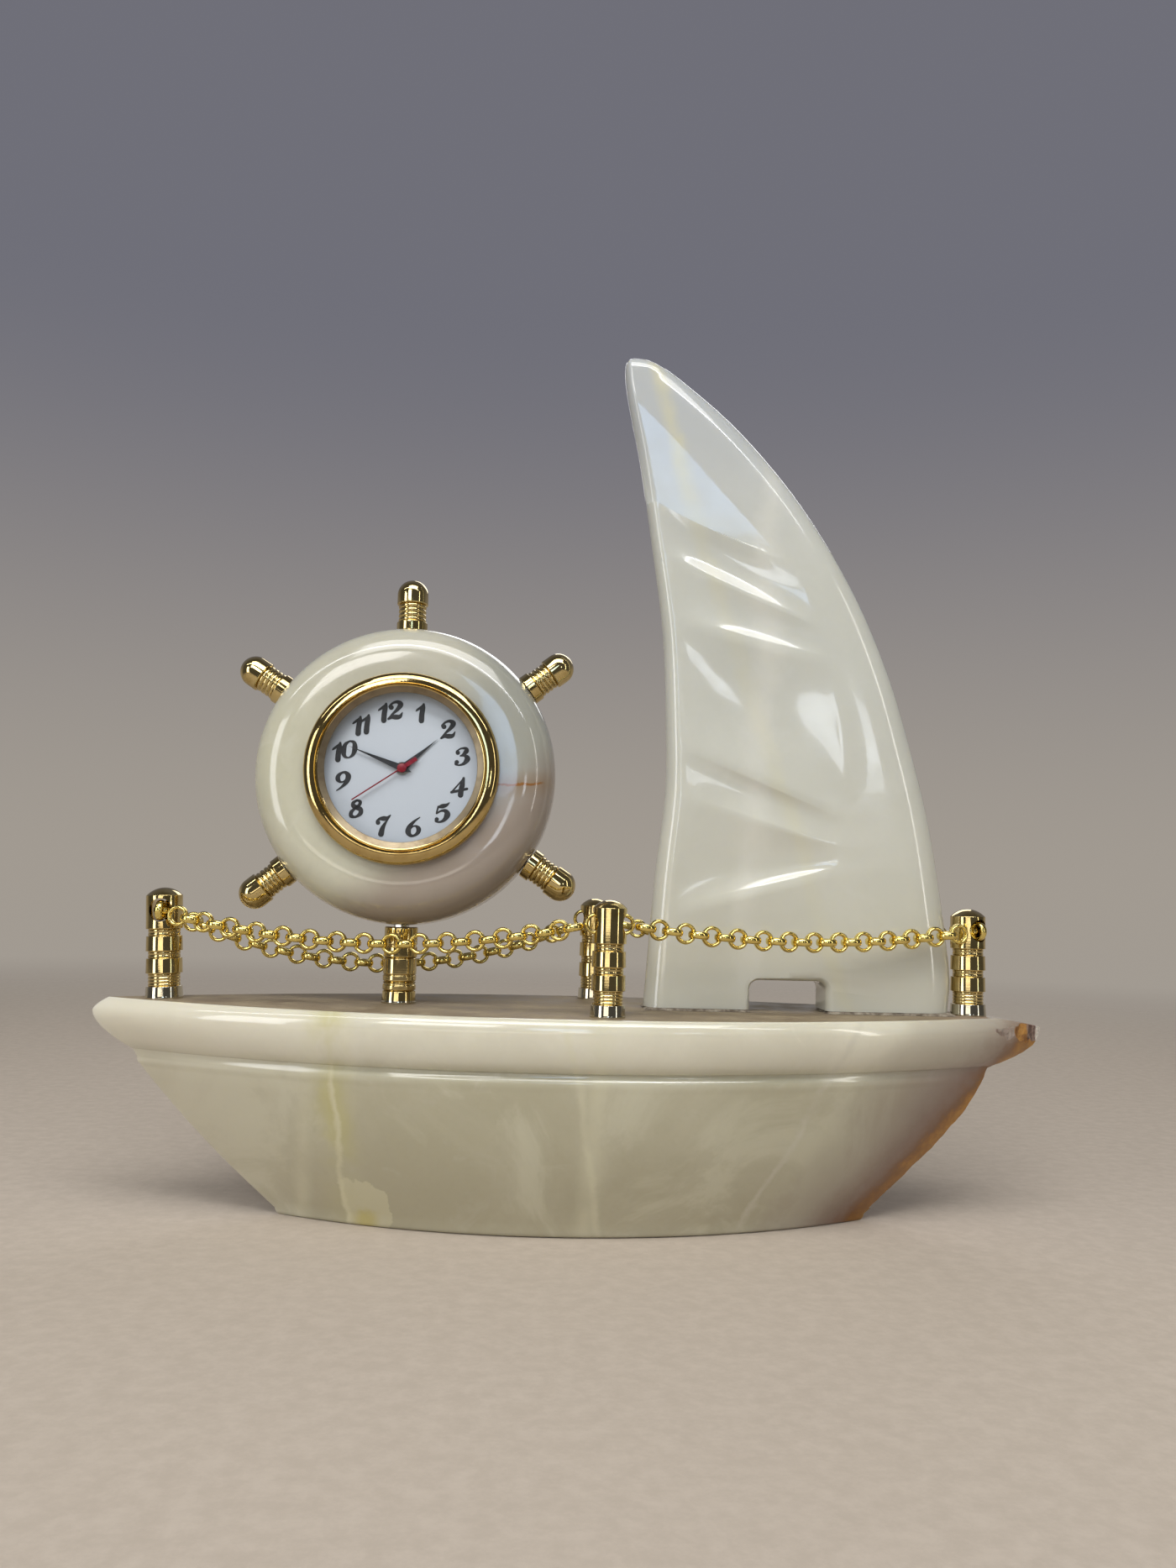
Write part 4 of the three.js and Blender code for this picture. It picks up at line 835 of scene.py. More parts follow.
def tip_cutter():
    """The top of the stern tip is worn down along a slope."""
    half = HULL_LENGTH / 2
    start = half - TIP_WEAR_LENGTH
    rows = []
    for i in range(CUTTER_STEPS + 1):
        y = lerp(-TIP_WEAR_REACH, TIP_WEAR_REACH, i / CUTTER_STEPS)
        row = []
        for k in range(CUTTER_STEPS + 1):
            x = start + (TIP_WEAR_LENGTH + 1) * k / CUTTER_STEPS
            worn = TIP_WEAR_DROP * max(0, (x - half + TIP_WEAR_LENGTH) / TIP_WEAR_LENGTH) ** TIP_WEAR_POWER
            row.append((x, y, DECK_Z + LIFT - worn + 0.12 * noise.noise(Vector((x, y, 0)) * 0.8)))
        rows.append(row + [(half + 1, y, DECK_Z + 5), (start, y, DECK_Z + 5)])
    return stone_cutter("tip_wear", rows, 0)


def add_hull():
    points, faces = loft([pointed_oval(*level) for level in hull_levels()])
    slots = [0] * (len(faces) - 1) + [1]
    hull = make_solid("hull_stone", points, faces, None, STONE_SLOTS, slots)
    carve(hull, wear_cutter(), chip_cutter(), tip_cutter())
    finish_piece(hull, "boat", ["hull"], angle=30)


# Sail


def spline(points, share):
    """A Catmull-Rom curve through points, at a share of its knots."""
    last = len(points) - 1
    place = min(share * last, last - 1e-9)
    i = int(place)
    t = place - i
    p1, p2 = Vector(points[i]), Vector(points[i + 1])
    p0 = Vector(points[i - 1]) if i else p1 * 2 - p2
    p3 = Vector(points[i + 2]) if i + 2 <= last else p2 * 2 - p1
    return 0.5 * (2 * p1 + (p2 - p0) * t + (2 * p0 - 5 * p1 + 4 * p2 - p3) * t**2
                  + (3 * p1 - p0 - 3 * p2 + p3) * t**3)


def edge_of_sail(knots, corner_x):
    """A function from a height above the foot to the edge's X."""
    scaled = [(x, share * SAIL_HEIGHT) for x, share in knots]
    line = [spline(scaled, i / CURVE_STEPS) for i in range(CURVE_STEPS + 1)]

    def at(height):
        for low, high in zip(line, line[1:]):
            if high.y >= height and high.y > low.y:
                return corner_x + lerp(low.x, high.x, (height - low.y) / (high.y - low.y))
        return corner_x + line[-1].x

    return at


luff_at = edge_of_sail(LUFF_EDGE, sail_fore_x)
leech_at = edge_of_sail(LEECH_EDGE, sail_aft_x)
rim_at = edge_of_sail(RIM_EDGE, sail_aft_x)


def sail_half_thickness(height):
    into_tip = max(0, (height - SAIL_HEIGHT + SAIL_TIP_ROUND) / SAIL_TIP_ROUND)
    plain = lerp(SAIL_THICKNESS, SAIL_TIP_THICKNESS, height / SAIL_HEIGHT) / 2
    return plain * math.sqrt(1 - SAIL_TIP_FLATNESS * into_tip**2)


def sail_row(luff_height, rim_height, depth_at):
    """A closed outline that runs along the arrises to port and returns to starboard."""
    # Share of the way from luff to rim, share of the edge's rounding, and whether that is the leech's
    stations = [(0, share, False) for share in LUFF_SHARES]
    stations += [(i / SCOOP_COLUMNS, 1, False) for i in range(SCOOP_COLUMNS + 1)]
    stations += [(1, share, True) for share in LEECH_SHARES]
    port, starboard = [], []
    for across, inward, is_leech in stations:
        height = lerp(luff_height, rim_height, across)
        luff, leech, rim = luff_at(height), leech_at(height), rim_at(height)
        luff_round = lerp(SAIL_LUFF_ROUND, SAIL_LUFF_ROUND_AT_TOP, height / SAIL_HEIGHT)
        luff_round = min(luff_round, 0.4 * (rim - luff))
        leech_round = min(SAIL_LEECH_ROUND, 0.9 * (leech - rim))
        x = leech - leech_round * inward if is_leech else lerp(luff + luff_round * inward, rim, across)
        thick = sail_half_thickness(height) * math.sqrt(1 - (1 - inward) ** 2)
        carved = min(depth_at(across, x, height), 0.6 * thick)
        port.append((x, SAIL_LATERAL_OFFSET - thick + carved, sail_foot_z + height))
        starboard.append((x, SAIL_LATERAL_OFFSET + thick, sail_foot_z + height))
    return port[:-1] + starboard[1:][::-1]


def scoop_section(share, peak):
    """Share of a scoop's depth, up the scoop."""
    if share > peak:
        return math.cos(math.pi / 2 * (share - peak) / (1 - peak))
    return math.sin(math.pi / 2 * share / peak)


def facet_depth(across, x, height):
    """The flat cut runs out along the line from its upper corner at the luff to its corner at the rim."""
    luff, rim = (SAIL_HEIGHT * share for share in SCOOPS[FACET][:2])
    top = SAIL_HEIGHT * SCOOPS[FACET + 1][0]
    upper, deepest = Vector((luff_at(top), top)), Vector((luff_at(luff), luff))
    line = Vector((rim_at(rim), rim)) - upper

    def beside(point):
        return line.x * (point.y - upper.y) - line.y * (point.x - upper.x)

    return FACET_DEPTH * max(0, beside(Vector((x, height))) / beside(deepest))


def sail_rows():
    rows = []
    ends = SCOOPS[1:] + ((1, 1, 0, 0, 0),)
    for i, (scoop, above) in enumerate(zip(SCOOPS, ends)):
        luff, rim, depth, peak, rounding = scoop
        shares = [row / SCOOP_ROWS for row in range(SCOOP_ROWS)]
        if i == FACET:
            shares.insert(1, FACET_STEP)
        for share in shares:
            def depth_at(across, x, height, deep=depth * scoop_section(share, peak)):
                return deep * max(0, math.sin(math.pi * across)) ** rounding

            rows.append(sail_row(
                SAIL_HEIGHT * lerp(luff, above[0], share),
                SAIL_HEIGHT * lerp(rim, above[1], share),
                facet_depth if i == FACET and share else depth_at,
            ))
    rows.append(sail_row(SAIL_HEIGHT, SAIL_HEIGHT, lambda across, x, height: 0))
    return rows


def notch_outline(grow):
    """The arch through the sail's foot, widened by grow."""
    half, top, corner = NOTCH_WIDTH / 2 + grow, NOTCH_HEIGHT + grow, NOTCH_CORNER + grow
    points = [(half, -NOTCH_BELOW_FOOT)]
    for sign, start in ((1, 0), (-1, math.pi / 2)):
        for turn in quarter(6):
            x, z = corner * math.cos(start + turn), corner * math.sin(start + turn)
            points.append((sign * (half - corner) + x, top - corner + z))
    points.append((-half, -NOTCH_BELOW_FOOT))
    return points


def notch_cutter():
    face = SAIL_LATERAL_OFFSET - SAIL_THICKNESS / 2
    sections = [(face - 3, NOTCH_EDGE_ROUND)]
    for angle in quarter(6):
        sections.append((face + NOTCH_EDGE_ROUND * late(angle), NOTCH_EDGE_ROUND * (1 - math.sin(angle))))
    sections.append((face + SAIL_THICKNESS + 3, 0))
    rows = [[(notch_middle_x + x, y, sail_foot_z + z) for x, z in notch_outline(grow)]
            for y, grow in sections]
    return make_solid("notch", *loft(rows), None, (onyx_sail,))


def add_sail():
    sail = make_solid("sail_stone", *loft(sail_rows()), None, (onyx_sail,))
    carve(sail, notch_cutter())
    finish_piece(sail, "boat", ["sail"], angle=40)


def add_cement(name, from_x, to_x):
    """A ragged bed of cement under one leg of the sail."""
    columns = round((to_x - from_x) / CEMENT_STEP)
    half = SAIL_THICKNESS / 2 + CEMENT_MARGIN
    points, faces = [], []
    for j in range(CEMENT_ROWS + 1):
        y = SAIL_LATERAL_OFFSET + lerp(-half, half, j / CEMENT_ROWS)
        for i in range(columns + 1):
            x = lerp(from_x, to_x, i / columns)
            edge = min(half - abs(y - SAIL_LATERAL_OFFSET), x - from_x, to_x - x)
            ragged = noise.noise(Vector((x, y, 0)) * 0.9)
            height = CEMENT_THICKNESS * min(1, max(0, edge / CEMENT_STEP + 0.35 * ragged))
            points.append((x, y, DECK_Z + LIFT + height * (0.96 - 0.1 * abs(ragged))))
    row = columns + 1
    for j in range(CEMENT_ROWS):
        for a in range(j * row, j * row + columns):
            faces.append([a, a + 1, a + 1 + row, a + row])
    bed = make_mesh(name + "_bed", points, faces, None, (cement,))
    finish_piece(bed, "boat", [name], angle=60)


# Turned brass


def foot_slots(points, faces, height):
    """Slot 1 for the faces up to the height, 0 for the others."""
    return [int(max(points[i][2] for i in face) <= height) for face in faces]


def ribs(profile, radius, start, height, count, depth):
    """Adds fine turned ribs from start upwards."""
    step = height / count
    for i in range(count):
        profile += [(radius - depth, start + step * i + 0.02), (radius, start + step * (i + 0.3)),
                    (radius, start + step * (i + 0.7))]
    profile.append((radius - depth, start + height))


def dome(profile, radius, base, height, steps):
    for angle in quarter(steps)[1:]:
        profile.append((radius * math.cos(angle), base + height * math.sin(angle)))


def cap(profile, radius, base, height, steps=8):
    """A cap of a sphere, which meets the wall below at an edge."""
    sphere = (radius**2 + height**2) / (2 * height)
    for i in range(1, steps + 1):
        out = radius * (1 - i / steps)
        profile.append((out, base + height - sphere + math.sqrt(sphere**2 - out**2)))


def tapered_foot(radius, start, rim, top):
    """A foot from start up: a straight rim, a small step, and a wall that tapers to the top."""
    flare = radius + POST_FOOT_FLARE
    return [(0, start), (flare, start), (flare, rim), (flare - 0.03, rim + 0.12),
            (flare - POST_FOOT_TAPER, top)]


def post_profile(radius):
    waist = radius - POST_GROOVE_DEPTH
    profile = tapered_foot(radius, -POST_IN_DECK, 0.3, POST_FOOT_HEIGHT)
    height = POST_FOOT_HEIGHT
    ribs(profile, waist, height, POST_RIBBED_HEIGHT, count=4, depth=0.12)
    height += POST_RIBBED_HEIGHT
    for _ in range(2):
        profile += [(radius, height), (radius - POST_BAND_TAPER, height + POST_BAND_HEIGHT)]
        height += POST_BAND_HEIGHT
        ribs(profile, waist, height, POST_GROOVE_HEIGHT, count=2, depth=0.10)
        height += POST_GROOVE_HEIGHT
    profile += [(radius, height), (radius, height + POST_HEAD_HEIGHT)]
    height += POST_HEAD_HEIGHT
    shoulder, dome_from = radius - POST_SHOULDER, height + POST_SHOULDER
    profile = softened(profile + [(shoulder, dome_from)], BRASS_EDGE_ROUND)
    cap(profile, shoulder, dome_from, POST_DOME_HEIGHT - POST_SHOULDER)
    return profile


def add_post(name):
    x, y, radius, lean, hole = POSTS[name]
    frame_of_post = Matrix.Translation((x, y, DECK_Z)) @ Matrix.Rotation(lean, 4, "Y")
    points, faces = turned(post_profile(radius), 56)
    # The foot stops at the deck, also where the post leans
    points = [(px, py, max(pz, px * math.tan(lean))) for px, py, pz in points]
    slots = foot_slots(points, faces, POST_FOOT_HEIGHT)
    post = make_solid(name + "_post_turned", points, faces, frame_of_post, BRASS_SLOTS, slots)
    half_bore = [(CHAIN_HOLE_RADIUS, CHAIN_HOLE_STRAIGHT), (CHAIN_HOLE_RADIUS + CHAIN_HOLE_FLARE, 9), (0, 9)]
    bore = turned([(r, -h) for r, h in half_bore[::-1]] + half_bore, 32)
    along = Matrix.Translation((0, 0, chain_hole_height)) @ Matrix.Rotation(hole, 4, "Z")
    carve(post, make_solid("bore", *bore, frame_of_post @ along @ FACE_FORWARD, (brass,)))
    finish_piece(post, "boat", [name + "_post"], angle=28)


def add_stem():
    r, groove = STEM_RADIUS, STEM_GROOVE
    ring_from = STEM_COLLAR_HEIGHT
    barrel_from = ring_from + STEM_RING_HEIGHT
    top = barrel_from + STEM_BARREL_HEIGHT
    base = tapered_foot(r, 0.01, 0.35, ring_from - groove / 2)
    # Radius below the stem's, and height above the ring or the barrel
    base += [(r - inset, ring_from + up) for inset, up in ((groove, 0), (0, groove / 2))]
    base += [(r - inset, barrel_from + up) for inset, up in (
        (0, -0.75), (0.18, -0.6), (0.18, -0.35), (0, -groove / 2), (groove, 0), (0, groove / 2), (0, 1.1),
        (0.15, 1.2), (0.15, 1.35), (0, 1.45))]
    base += [(r, top - groove / 2), (r - groove / 2, top), (0, top)]
    neck = [(0, 0), (r - 0.25, 0), (r, 0.25), (r, 2.1), (r - 0.2, 2.25), (r - 0.2, 2.5), (r, 2.65),
            (r, STEM_NECK_HEIGHT - 0.2), (r - 0.2, STEM_NECK_HEIGHT), (0, STEM_NECK_HEIGHT)]
    for node, profile, lift, foot in (("stem_base", base, 0, ring_from), ("stem_neck", neck, top, 0)):
        points, faces = turned(softened(profile, BRASS_EDGE_ROUND), 56)
        place = Matrix.Translation((wheel_x, 0, DECK_Z + lift))
        slots = foot_slots(points, faces, foot - groove)
        piece = make_solid(node + "_turned", points, faces, place, BRASS_SLOTS, slots)
        finish_piece(piece, "boat", [node], angle=28)


def handle_profile():
    neck_from = HANDLE_COLLAR_HEIGHT
    bulb_from = neck_from + HANDLE_NECK_HEIGHT
    top = bulb_from + HANDLE_BULB_HEIGHT
    waist = HANDLE_NECK_RADIUS - HANDLE_BEAD_DEPTH
    profile = [(0, 0), (HANDLE_COLLAR_RADIUS, 0), (HANDLE_COLLAR_RADIUS, neck_from - 0.1),
               (HANDLE_COLLAR_RADIUS - 0.15, neck_from), (waist, neck_from + 0.05)]
    profile = softened(profile, 0.12)
    bead = HANDLE_NECK_HEIGHT / HANDLE_NECK_BEADS
    for i in range(HANDLE_NECK_BEADS):
        for angle in (math.pi * k / 8 for k in range(1, 8)):
            up = bead * (i + 0.5 - 0.5 * math.cos(angle))
            profile.append((waist + HANDLE_BEAD_DEPTH * math.sin(angle), neck_from + up))
    dome_height = HANDLE_BULB_RADIUS * 0.98
    profile += [(HANDLE_BULB_RADIUS - 0.12, bulb_from + 0.05), (HANDLE_BULB_RADIUS, bulb_from + 0.2),
                (HANDLE_BULB_RADIUS, top - dome_height)]
    dome(profile, HANDLE_BULB_RADIUS, top - dome_height, dome_height, 10)
    return profile


def add_handles():
    points, faces = turned(handle_profile(), 48)
    for name, angle in HANDLES.items():
        turn = Matrix.Rotation(math.radians(angle), 4, "Y")
        place = wheel_matrix @ turn @ Matrix.Translation((0, 0, WHEEL_RADIUS + HANDLE_GAP))
        handle = make_solid(f"handle_{name}_turned", points, faces, place, (brass,))
        finish_piece(handle, "boat", [f"handle_{name}"], angle=35)


# Wheel ring and clock insert


def add_ring():
    half = WHEEL_THICKNESS / 2
    flat = half - WHEEL_EDGE_DEPTH
    across = WHEEL_RADIUS - WHEEL_FACE_RADIUS
    power = 2 / WHEEL_SQUARENESS
    bore = WHEEL_BORE_RADIUS
    front = [(bore, half - 0.3), (bore + 0.3, half)]
    for angle in quarter(26):
        front.append((WHEEL_FACE_RADIUS + across * math.sin(angle) ** power,
                      flat + WHEEL_EDGE_DEPTH * max(0, math.cos(angle)) ** power))
    back = [(radius, -height) for radius, height in front]
    points, faces = turned(front[:1] + back + front[:0:-1], 160, True)
    points = [tuple(wheel_matrix @ FACE_FORWARD @ Vector(p)) for p in points]
    ring = make_solid("wheel_ring_stone", points, faces, None, (onyx_ring,))
    finish_piece(ring, "boat", ["wheel_ring"], angle=40)


def add_bezel():
    ridge, lip = BEZEL_RIDGE_RADIUS, BEZEL_LIP_RADIUS
    rolled = BEZEL_RADIUS - ridge - BEZEL_GROOVE
    band_from = BEZEL_SEAT + 0.55
    profile = [(BEZEL_POCKET_RADIUS, BEZEL_SEAT), (BEZEL_RADIUS - 0.1, BEZEL_SEAT),
               (BEZEL_RADIUS, BEZEL_SEAT + 0.12)]
    for angle in quarter(14):
        profile.append((BEZEL_RADIUS - rolled * late(angle),
                        band_from + (BEZEL_HEIGHT - 0.15 - band_from) * math.sin(angle)))
    # Outwards from the ridge and below the top
    profile += [(ridge + out, BEZEL_HEIGHT - down) for out, down in (
        (0.34, 0.45), (0.2, 0.12), (0, 0), (-0.12, 0.04), (-0.18, 0.10))]
    profile += [(lip + out, BEZEL_LIP_BACK + up) for out, up in ((0.08, 0.10), (0.02, 0.06), (0, 0))]
    profile.append((BEZEL_POCKET_RADIUS, BEZEL_LIP_BACK))
    points, faces = turned(profile, 144, True)
    # The wall inside the ridge is satin brass, darkened to paint the shade and dark reflection in the recess
    slots = [int(all(math.hypot(*points[i][:2]) < ridge - 0.15 for i in face)) for face in faces]
    bezel = make_solid("bezel_ring", points, faces, insert_matrix, (brass_bezel, brass_wall_painted_shade), slots)
    finish_piece(bezel, "insert", ["bezel"], angle=40)


# Strokes of each numeral: (x, y, width) points of a broad pen, in hundredths of the numeral's height
NUMERALS = {
    "0": [[(0, 99, 6), (-19, 84, 14), (-25, 50, 20), (-19, 16, 14), (0, 1, 6), (19, 16, 14),
           (25, 50, 20), (19, 84, 14), (0, 99, 6)]],
    "1": [[(5, 99, 9), (3, 80, 18), (0, 40, 20), (0, 2, 21)],
          [(6, 99, 5), (-6, 84, 10), (-22, 72, 9), (-27, 67, 5)]],
    "2": [[(-18, 70, 19), (-26, 80, 9), (-12, 95, 9), (8, 96, 13), (23, 78, 21), (12, 53, 15),
           (-12, 27, 8), (-27, 5, 7)],
          [(-27, 5, 9), (-12, 13, 15), (6, 7, 19), (24, 6, 15), (34, 26, 4)]],
    "3": [[(-18, 77, 17), (-22, 88, 7), (-4, 98, 7), (17, 92, 13), (20, 76, 19), (6, 59, 10),
           (-6, 55, 5)],
          [(-6, 55, 5), (14, 51, 11), (27, 30, 22), (15, 7, 14), (-6, 1, 7), (-24, 10, 8),
           (-20, 22, 17)]],
    "4": [[(16, 98, 5), (-10, 62, 6), (-34, 31, 7)],
          [(-35, 30, 10), (0, 30, 11), (34, 31, 10)],
          [(16, 98, 10), (12, 60, 19), (8, 30, 20), (7, 2, 21)]],
    "5": [[(-17, 90, 9), (0, 90, 17), (18, 92, 12), (30, 102, 4)],
          [(-19, 93, 7), (-22, 74, 7), (-25, 55, 6)],
          [(-24, 54, 6), (-5, 64, 8), (15, 58, 15), (24, 34, 23), (12, 8, 14), (-8, 1, 8),
           (-25, 9, 8), (-22, 20, 16)]],
    "6": [[(24, 100, 4), (2, 85, 9), (-18, 60, 17), (-24, 30, 21), (-12, 6, 13), (4, 1, 9),
           (20, 13, 15), (22, 34, 18), (10, 53, 9), (-4, 55, 6), (-15, 44, 5)]],
    "7": [[(-20, 72, 17), (-25, 83, 8), (-12, 92, 12), (5, 89, 18), (20, 89, 12), (33, 100, 5)],
          [(31, 96, 5), (14, 64, 9), (2, 34, 17), (-3, 2, 22)]],
    "8": [[(0, 98, 8), (-15, 87, 13), (-13, 68, 17), (4, 54, 18), (20, 38, 18), (20, 15, 16),
           (0, 2, 9), (-20, 13, 15), (-20, 36, 14), (-5, 52, 9), (13, 68, 12), (15, 86, 12),
           (0, 98, 8)]],
    "9": [[(-24, 0, 4), (-2, 15, 9), (18, 40, 17), (24, 70, 21), (12, 94, 13), (-4, 99, 9),
           (-20, 87, 15), (-22, 66, 18), (-10, 47, 9), (4, 45, 6), (15, 56, 5)]],
}
DIGIT_ADVANCE = {"0": 0.80, "1": 0.50, "2": 0.80}


def pen_stroke(points, faces, knots, place, level):
    """A ribbon of varying width along a smooth line, with round ends."""
    steps = STROKE_STEPS * (len(knots) - 1)
    line = [spline(knots, i / steps) for i in range(steps + 1)]
    slant = math.tan(NUMERAL_SLANT)
    flat = [Vector((NUMERAL_SPREAD * p.x + slant * (p.y - 0.5), p.y - 0.5)) * NUMERAL_HEIGHT + place
            for p in line]
    half_widths = [max(p.z, PEN_LEAST_WIDTH) * PEN_WEIGHT * NUMERAL_HEIGHT / 2 for p in line]
    start = len(points)
    for i, (spot, half) in enumerate(zip(flat, half_widths)):
        ahead = flat[min(i + 1, steps)] - flat[max(i - 1, 0)]
        side = Vector((-ahead.y, ahead.x)).normalized() * half
        points += [(*(spot + side), level), (*(spot - side), level)]
    for a in range(start, start + 2 * steps, 2):
        faces.append([a, a + 1, a + 3, a + 2])
    for i in (0, steps):
        first = len(points)
        for angle in (math.tau * k / 12 for k in range(12)):
            x, y = (half_widths[i] * way(angle) for way in (math.cos, math.sin))
            points.append((flat[i].x + x, flat[i].y + y, level + 0.001))
        faces.append(list(range(first, first + 12)))


def add_numerals():
    points, faces = [], []
    level = DIAL_FRONT + LIFT
    for hour in range(1, 13):
        angle = math.tau * hour / 12
        middle = Vector((math.sin(angle), math.cos(angle))) * NUMERAL_RING_RADIUS
        digits = str(hour)
        widths = [DIGIT_ADVANCE.get(digit, 0.6) for digit in digits]
        at = -sum(widths) / 2
        for digit, width in zip(digits, widths):
            place = middle + Vector(((at + width / 2) * NUMERAL_HEIGHT if len(digits) > 1 else 0, 0))
            for stroke in NUMERALS[digit]:
                level += STROKE_LIFT
                knots = [tuple(number / 100 for number in knot) for knot in stroke]
                pen_stroke(points, faces, knots, place, level)
            at += width
    numerals = make_mesh("dial_numerals", points, faces, insert_matrix, (ink,))
    finish_piece(numerals, "insert")


def add_hub():
    """The red cap in the middle of the second hand."""
    profile = [(radius, HAND_TOP + up) for radius, up in (
        (0.30, 0), (0.88, 0), (0.88, 0.12), (0.62, 0.16), (0.55, 0.2))]
    profile = [(0, HAND_TOP)] + softened(profile, 0.05)
    dome(profile, 0.5, HAND_TOP + 0.2, 0.07, 5)
    hub = make_solid("second_hand_cap", *turned(profile, 32), insert_matrix, (red_paint,))
    finish_piece(hub, "second_hand")


# Chain


def link_mesh(points, faces, matrix):
    """One round link in the XY plane of matrix, with the chain running along X."""
    around, across = 28, 12
    mean = LINK_OUTER_RADIUS + LINK_SWELL - LINK_WIRE_RADIUS
    start = len(points)
    for a in (math.tau * i / around for i in range(around)):
        for b in (math.tau * j / across for j in range(across)):
            ring = mean + LINK_WIRE_RADIUS * math.cos(b)
            place = Vector((ring * math.cos(a), ring * math.sin(a), LINK_HALF_WIDTH * math.sin(b)))
            points.append(tuple(matrix @ place))
    for i in range(around):
        a, b = start + i * across, start + (i + 1) % around * across
        for j in range(across):
            k = (j + 1) % across
            faces.append([a + j, b + j, b + k, a + k])


def add_chain(name, curve, count, body):
    """A run of links along a curve, a function from 0..1 to a point; every other link stands upright."""
    fine = [curve(i / CURVE_STEPS) for i in range(CURVE_STEPS + 1)]
    lengths = [0.0]
    for a, b in zip(fine, fine[1:]):
        lengths.append(lengths[-1] + (b - a).length)
    points, faces = [], []
    for i in range(count):
        goal = lengths[-1] * (i + 0.5) / count
        k = next(k for k in range(CURVE_STEPS) if lengths[k + 1] >= goal)
        share = (goal - lengths[k]) / (lengths[k + 1] - lengths[k])
        along = (fine[k + 1] - fine[k]).normalized()
        aside = Vector((0, 0, 1)).cross(along).normalized()
        turn = Matrix((along, aside, along.cross(aside))).transposed().to_4x4()
        matrix = Matrix.Translation(fine[k].lerp(fine[k + 1], share)) @ turn
        link_mesh(points, faces, matrix if i % 2 else matrix @ FACE_FORWARD)
    chain = make_mesh(name + "_links", points, faces, None, (gold,))
    finish_piece(chain, body, [name], angle=60)


def chain_centre(post):
    x, y, _, lean, _ = POSTS[post]
    height = chain_hole_height - CHAIN_DROP_IN_HOLE
    return Vector((x + height * math.sin(lean), y, DECK_Z + height * math.cos(lean)))


def add_chains():
    half_run = LINKS_IN_POST * LINK_PITCH / 2
    for post, (_, _, _, _, hole) in POSTS.items():
        reach = Vector((math.sin(hole), -math.cos(hole), 0)) * half_run

        def straight(s, centre=chain_centre(post), reach=reach):
            return centre + reach * (2 * s - 1)

        add_chain(f"chain_in_{post}_post", straight, LINKS_IN_POST, "boat")
    beyond = half_run + 2 * (LINK_OUTER_RADIUS - LINK_PITCH / 2) + CHAIN_CLEARANCE
    for name, (end, side, hand, sag, drop) in SPANS.items():
        towards = 1 if end == "bow" else -1
        start = chain_centre(end) + Vector((towards * CHAIN_END_ASIDE, 0, -drop))
        start.y = hand * (END_POST_RADIUS + LINK_OUTER_RADIUS + CHAIN_CLEARANCE)
        stop = chain_centre(side) + Vector((-towards * beyond, 0, -drop))

        def hang(s, a=start, b=stop, sag=sag):
            return a.lerp(b, s) - Vector((0, 0, 4 * sag * s * (1 - s)))

        spots = [hang(i / CURVE_STEPS) for i in range(CURVE_STEPS + 1)]
        length = sum((b - a).length for a, b in zip(spots, spots[1:]))
        add_chain(name, hang, round(length / LINK_PITCH), name)


# CAD nodes that stay


def dress_nodes():
    looks = {
        "dial": dial_paint, "crystal": crystal_glass, "hour_hand": black_paint, "minute_hand": black_paint,
        "second_hand": red_paint, "insert_case": brass_case, "case_back": steel, "grip_ring": rubber,
        "movement_holder": plastic, "movement": plastic, "battery": steel, "setting_stem": steel,
        "setting_crown": brass_case, "stem_rod": steel,
    }
    for name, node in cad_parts.items():
        is_stud = name.endswith("_stud") or name.startswith("handle_stud")
        material = steel if is_stud else looks.get(name)
        if material:
            node.data.materials.clear()
            node.data.materials.append(material)


# Stage


def floor_material():
    """Pale paper that fades out far from the clock, into the colour of the room."""
    shader = Shader("floor_paper", (0.47, 0.405, 0.335))
    x, y, _ = shader.axes()
    shader.tint(shader.noise(300, 4, 0.7).fade(0.3, 0.75), (0.53, 0.46, 0.385))
    away = (x * x + y * y).math("SQRT")
    return shader.done(Roughness=0.9, Specular_IOR_Level=0.2, Alpha=away.fade(*FLOOR_FADE, 1, 0))


def add_ramp(tree, value, end, low, high):
    ramp = tree.nodes.new("ShaderNodeValToRGB")
    ramp.color_ramp.interpolation = "EASE"
    for element, position, colour in zip(ramp.color_ramp.elements, (0.0, end), (low, high)):
        element.position = position
        element.color = (*colour, 1)
    tree.links.new(value, ramp.inputs[0])
    return ramp.outputs[0]


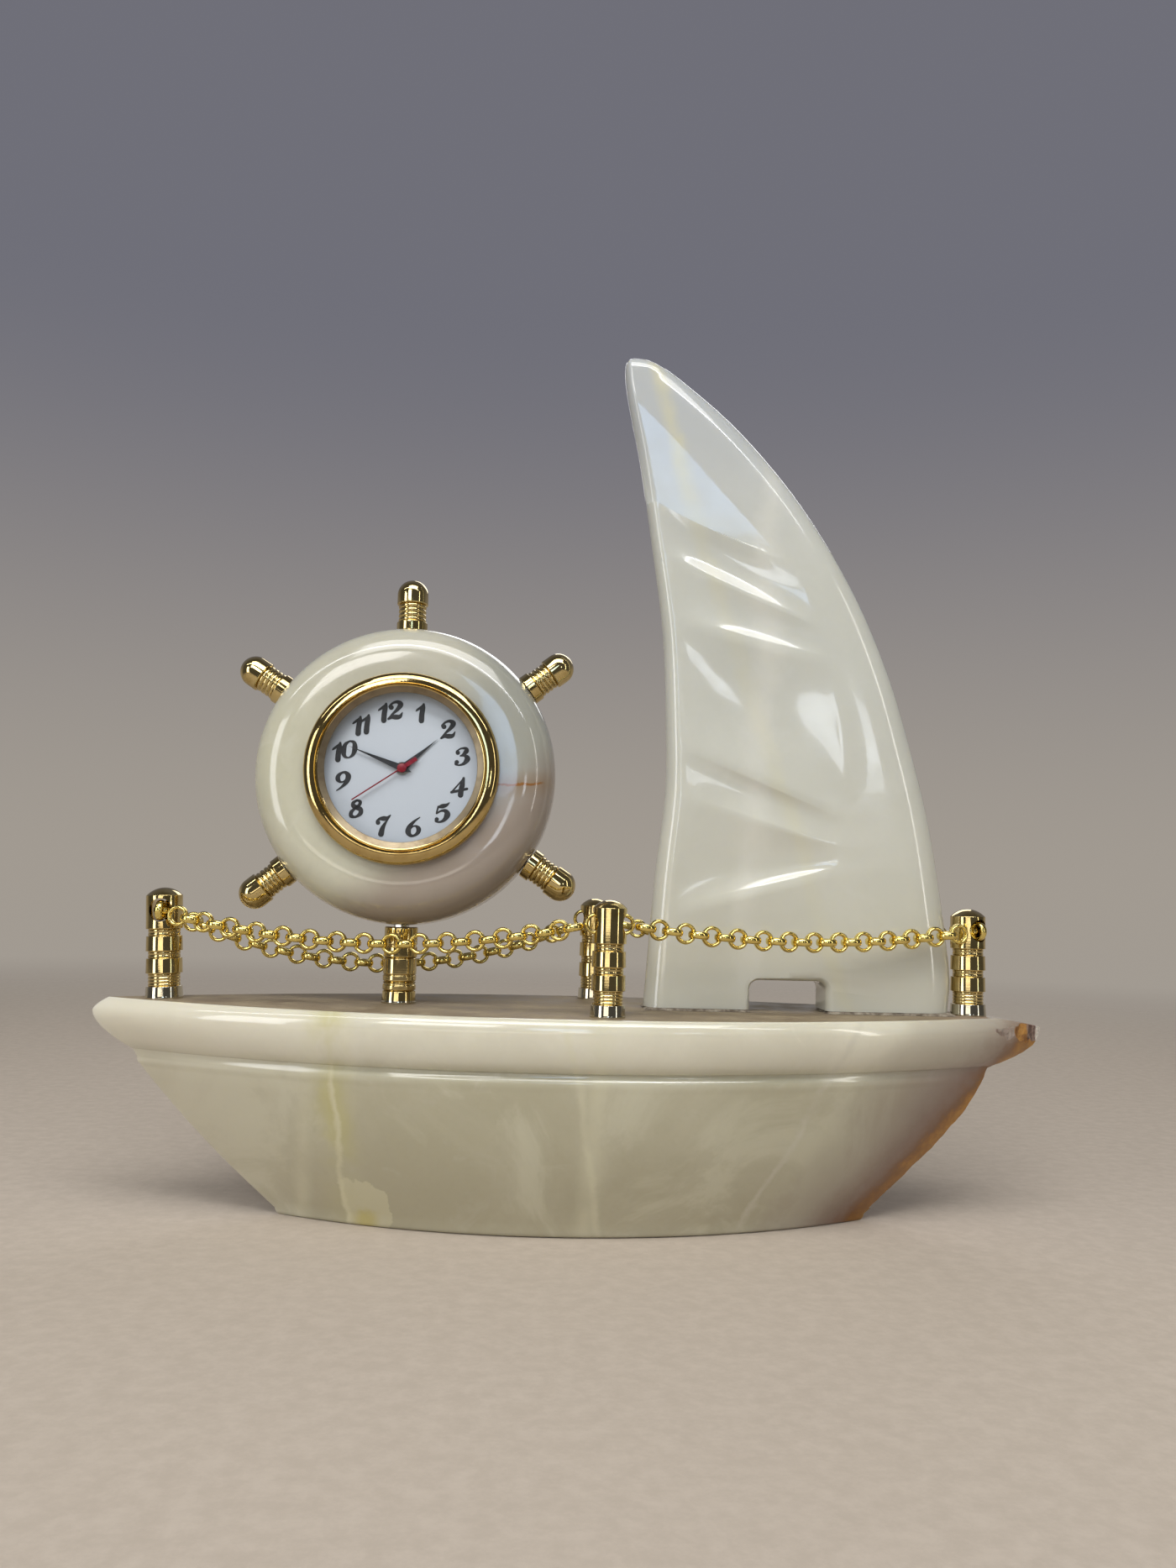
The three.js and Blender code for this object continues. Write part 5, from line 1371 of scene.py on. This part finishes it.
def add_stage():
    angles = [math.tau * i / 64 for i in range(64)]
    rim = [(FLOOR_RADIUS * math.cos(a), FLOOR_RADIUS * math.sin(a), 0) for a in angles]
    make_mesh("floor", rim, [list(range(64))], None, (floor_material(),))
    world = bpy.data.worlds.new("room")
    bpy.context.scene.world = world
    world.use_nodes = True
    tree = world.node_tree
    coords = tree.nodes.new("ShaderNodeTexCoord")
    split = tree.nodes.new("ShaderNodeSeparateXYZ")
    tree.links.new(coords.outputs["Generated"], split.inputs[0])
    upward = add_ramp(tree, split.outputs[2], 0.45, HORIZON_COLOUR, WALL_COLOUR)
    # The wall is behind the clock, and the room in front of it is darker
    backward = add_ramp(tree, split.outputs[1], 0.5, (0, 0, 0), (1, 1, 1))
    blend = tree.nodes.new("ShaderNodeMix")
    blend.data_type = "RGBA"
    tree.links.new(backward, blend.inputs[0])
    blend.inputs[6].default_value = (*ROOM_COLOUR, 1)
    tree.links.new(upward, blend.inputs[7])
    tree.links.new(blend.outputs[2], tree.nodes["Background"].inputs[0])


def add_lamp(name, place, target, size, radiance, colour):
    """A flat lamp of the given size in mm. Its radiance is on the scale where 1 is white."""
    light = bpy.data.lights.new(name, "AREA")
    light.shape = "RECTANGLE"
    light.size, light.size_y = size[0] * MM, size[1] * MM
    light.energy = radiance * math.pi * light.size * light.size_y
    light.color = colour
    lamp = bpy.data.objects.new(name, light)
    bpy.context.scene.collection.objects.link(lamp)
    lamp.location = Vector(place) * MM
    lamp.rotation_euler = (Vector(target) - Vector(place)).to_track_quat("-Z", "Y").to_euler()


def add_camera():
    turn = (Matrix.Rotation(CAMERA_YAW, 4, "Z") @ Matrix.Rotation(math.pi / 2 + CAMERA_PITCH, 4, "X")
            @ Matrix.Rotation(CAMERA_ROLL, 4, "Z"))
    data = bpy.data.cameras.new("camera")
    data.sensor_width = SENSOR
    data.lens = SENSOR * FOCAL_PIXELS / PHOTO_HEIGHT
    data.clip_start, data.clip_end = 0.01, 20
    camera = bpy.data.objects.new("camera", data)
    bpy.context.scene.collection.objects.link(camera)
    camera.matrix_world = Matrix.Translation(Vector(CAMERA_PLACE) * MM) @ turn
    bpy.context.scene.camera = camera


bpy.context.scene.view_settings.view_transform = "Standard"
add_camera()
add_stage()
for lamp in LAMPS:
    add_lamp(*lamp)
add_hull()
add_sail()
add_cement("cement_fore", sail_fore_x, sail_fore_x + NOTCH_FROM_LUFF)
add_cement("cement_aft", sail_fore_x + NOTCH_FROM_LUFF + NOTCH_WIDTH, sail_aft_x)
for post_name in POSTS:
    add_post(post_name)
add_stem()
add_ring()
add_handles()
add_bezel()
add_numerals()
add_hub()
add_chains()
dress_nodes()
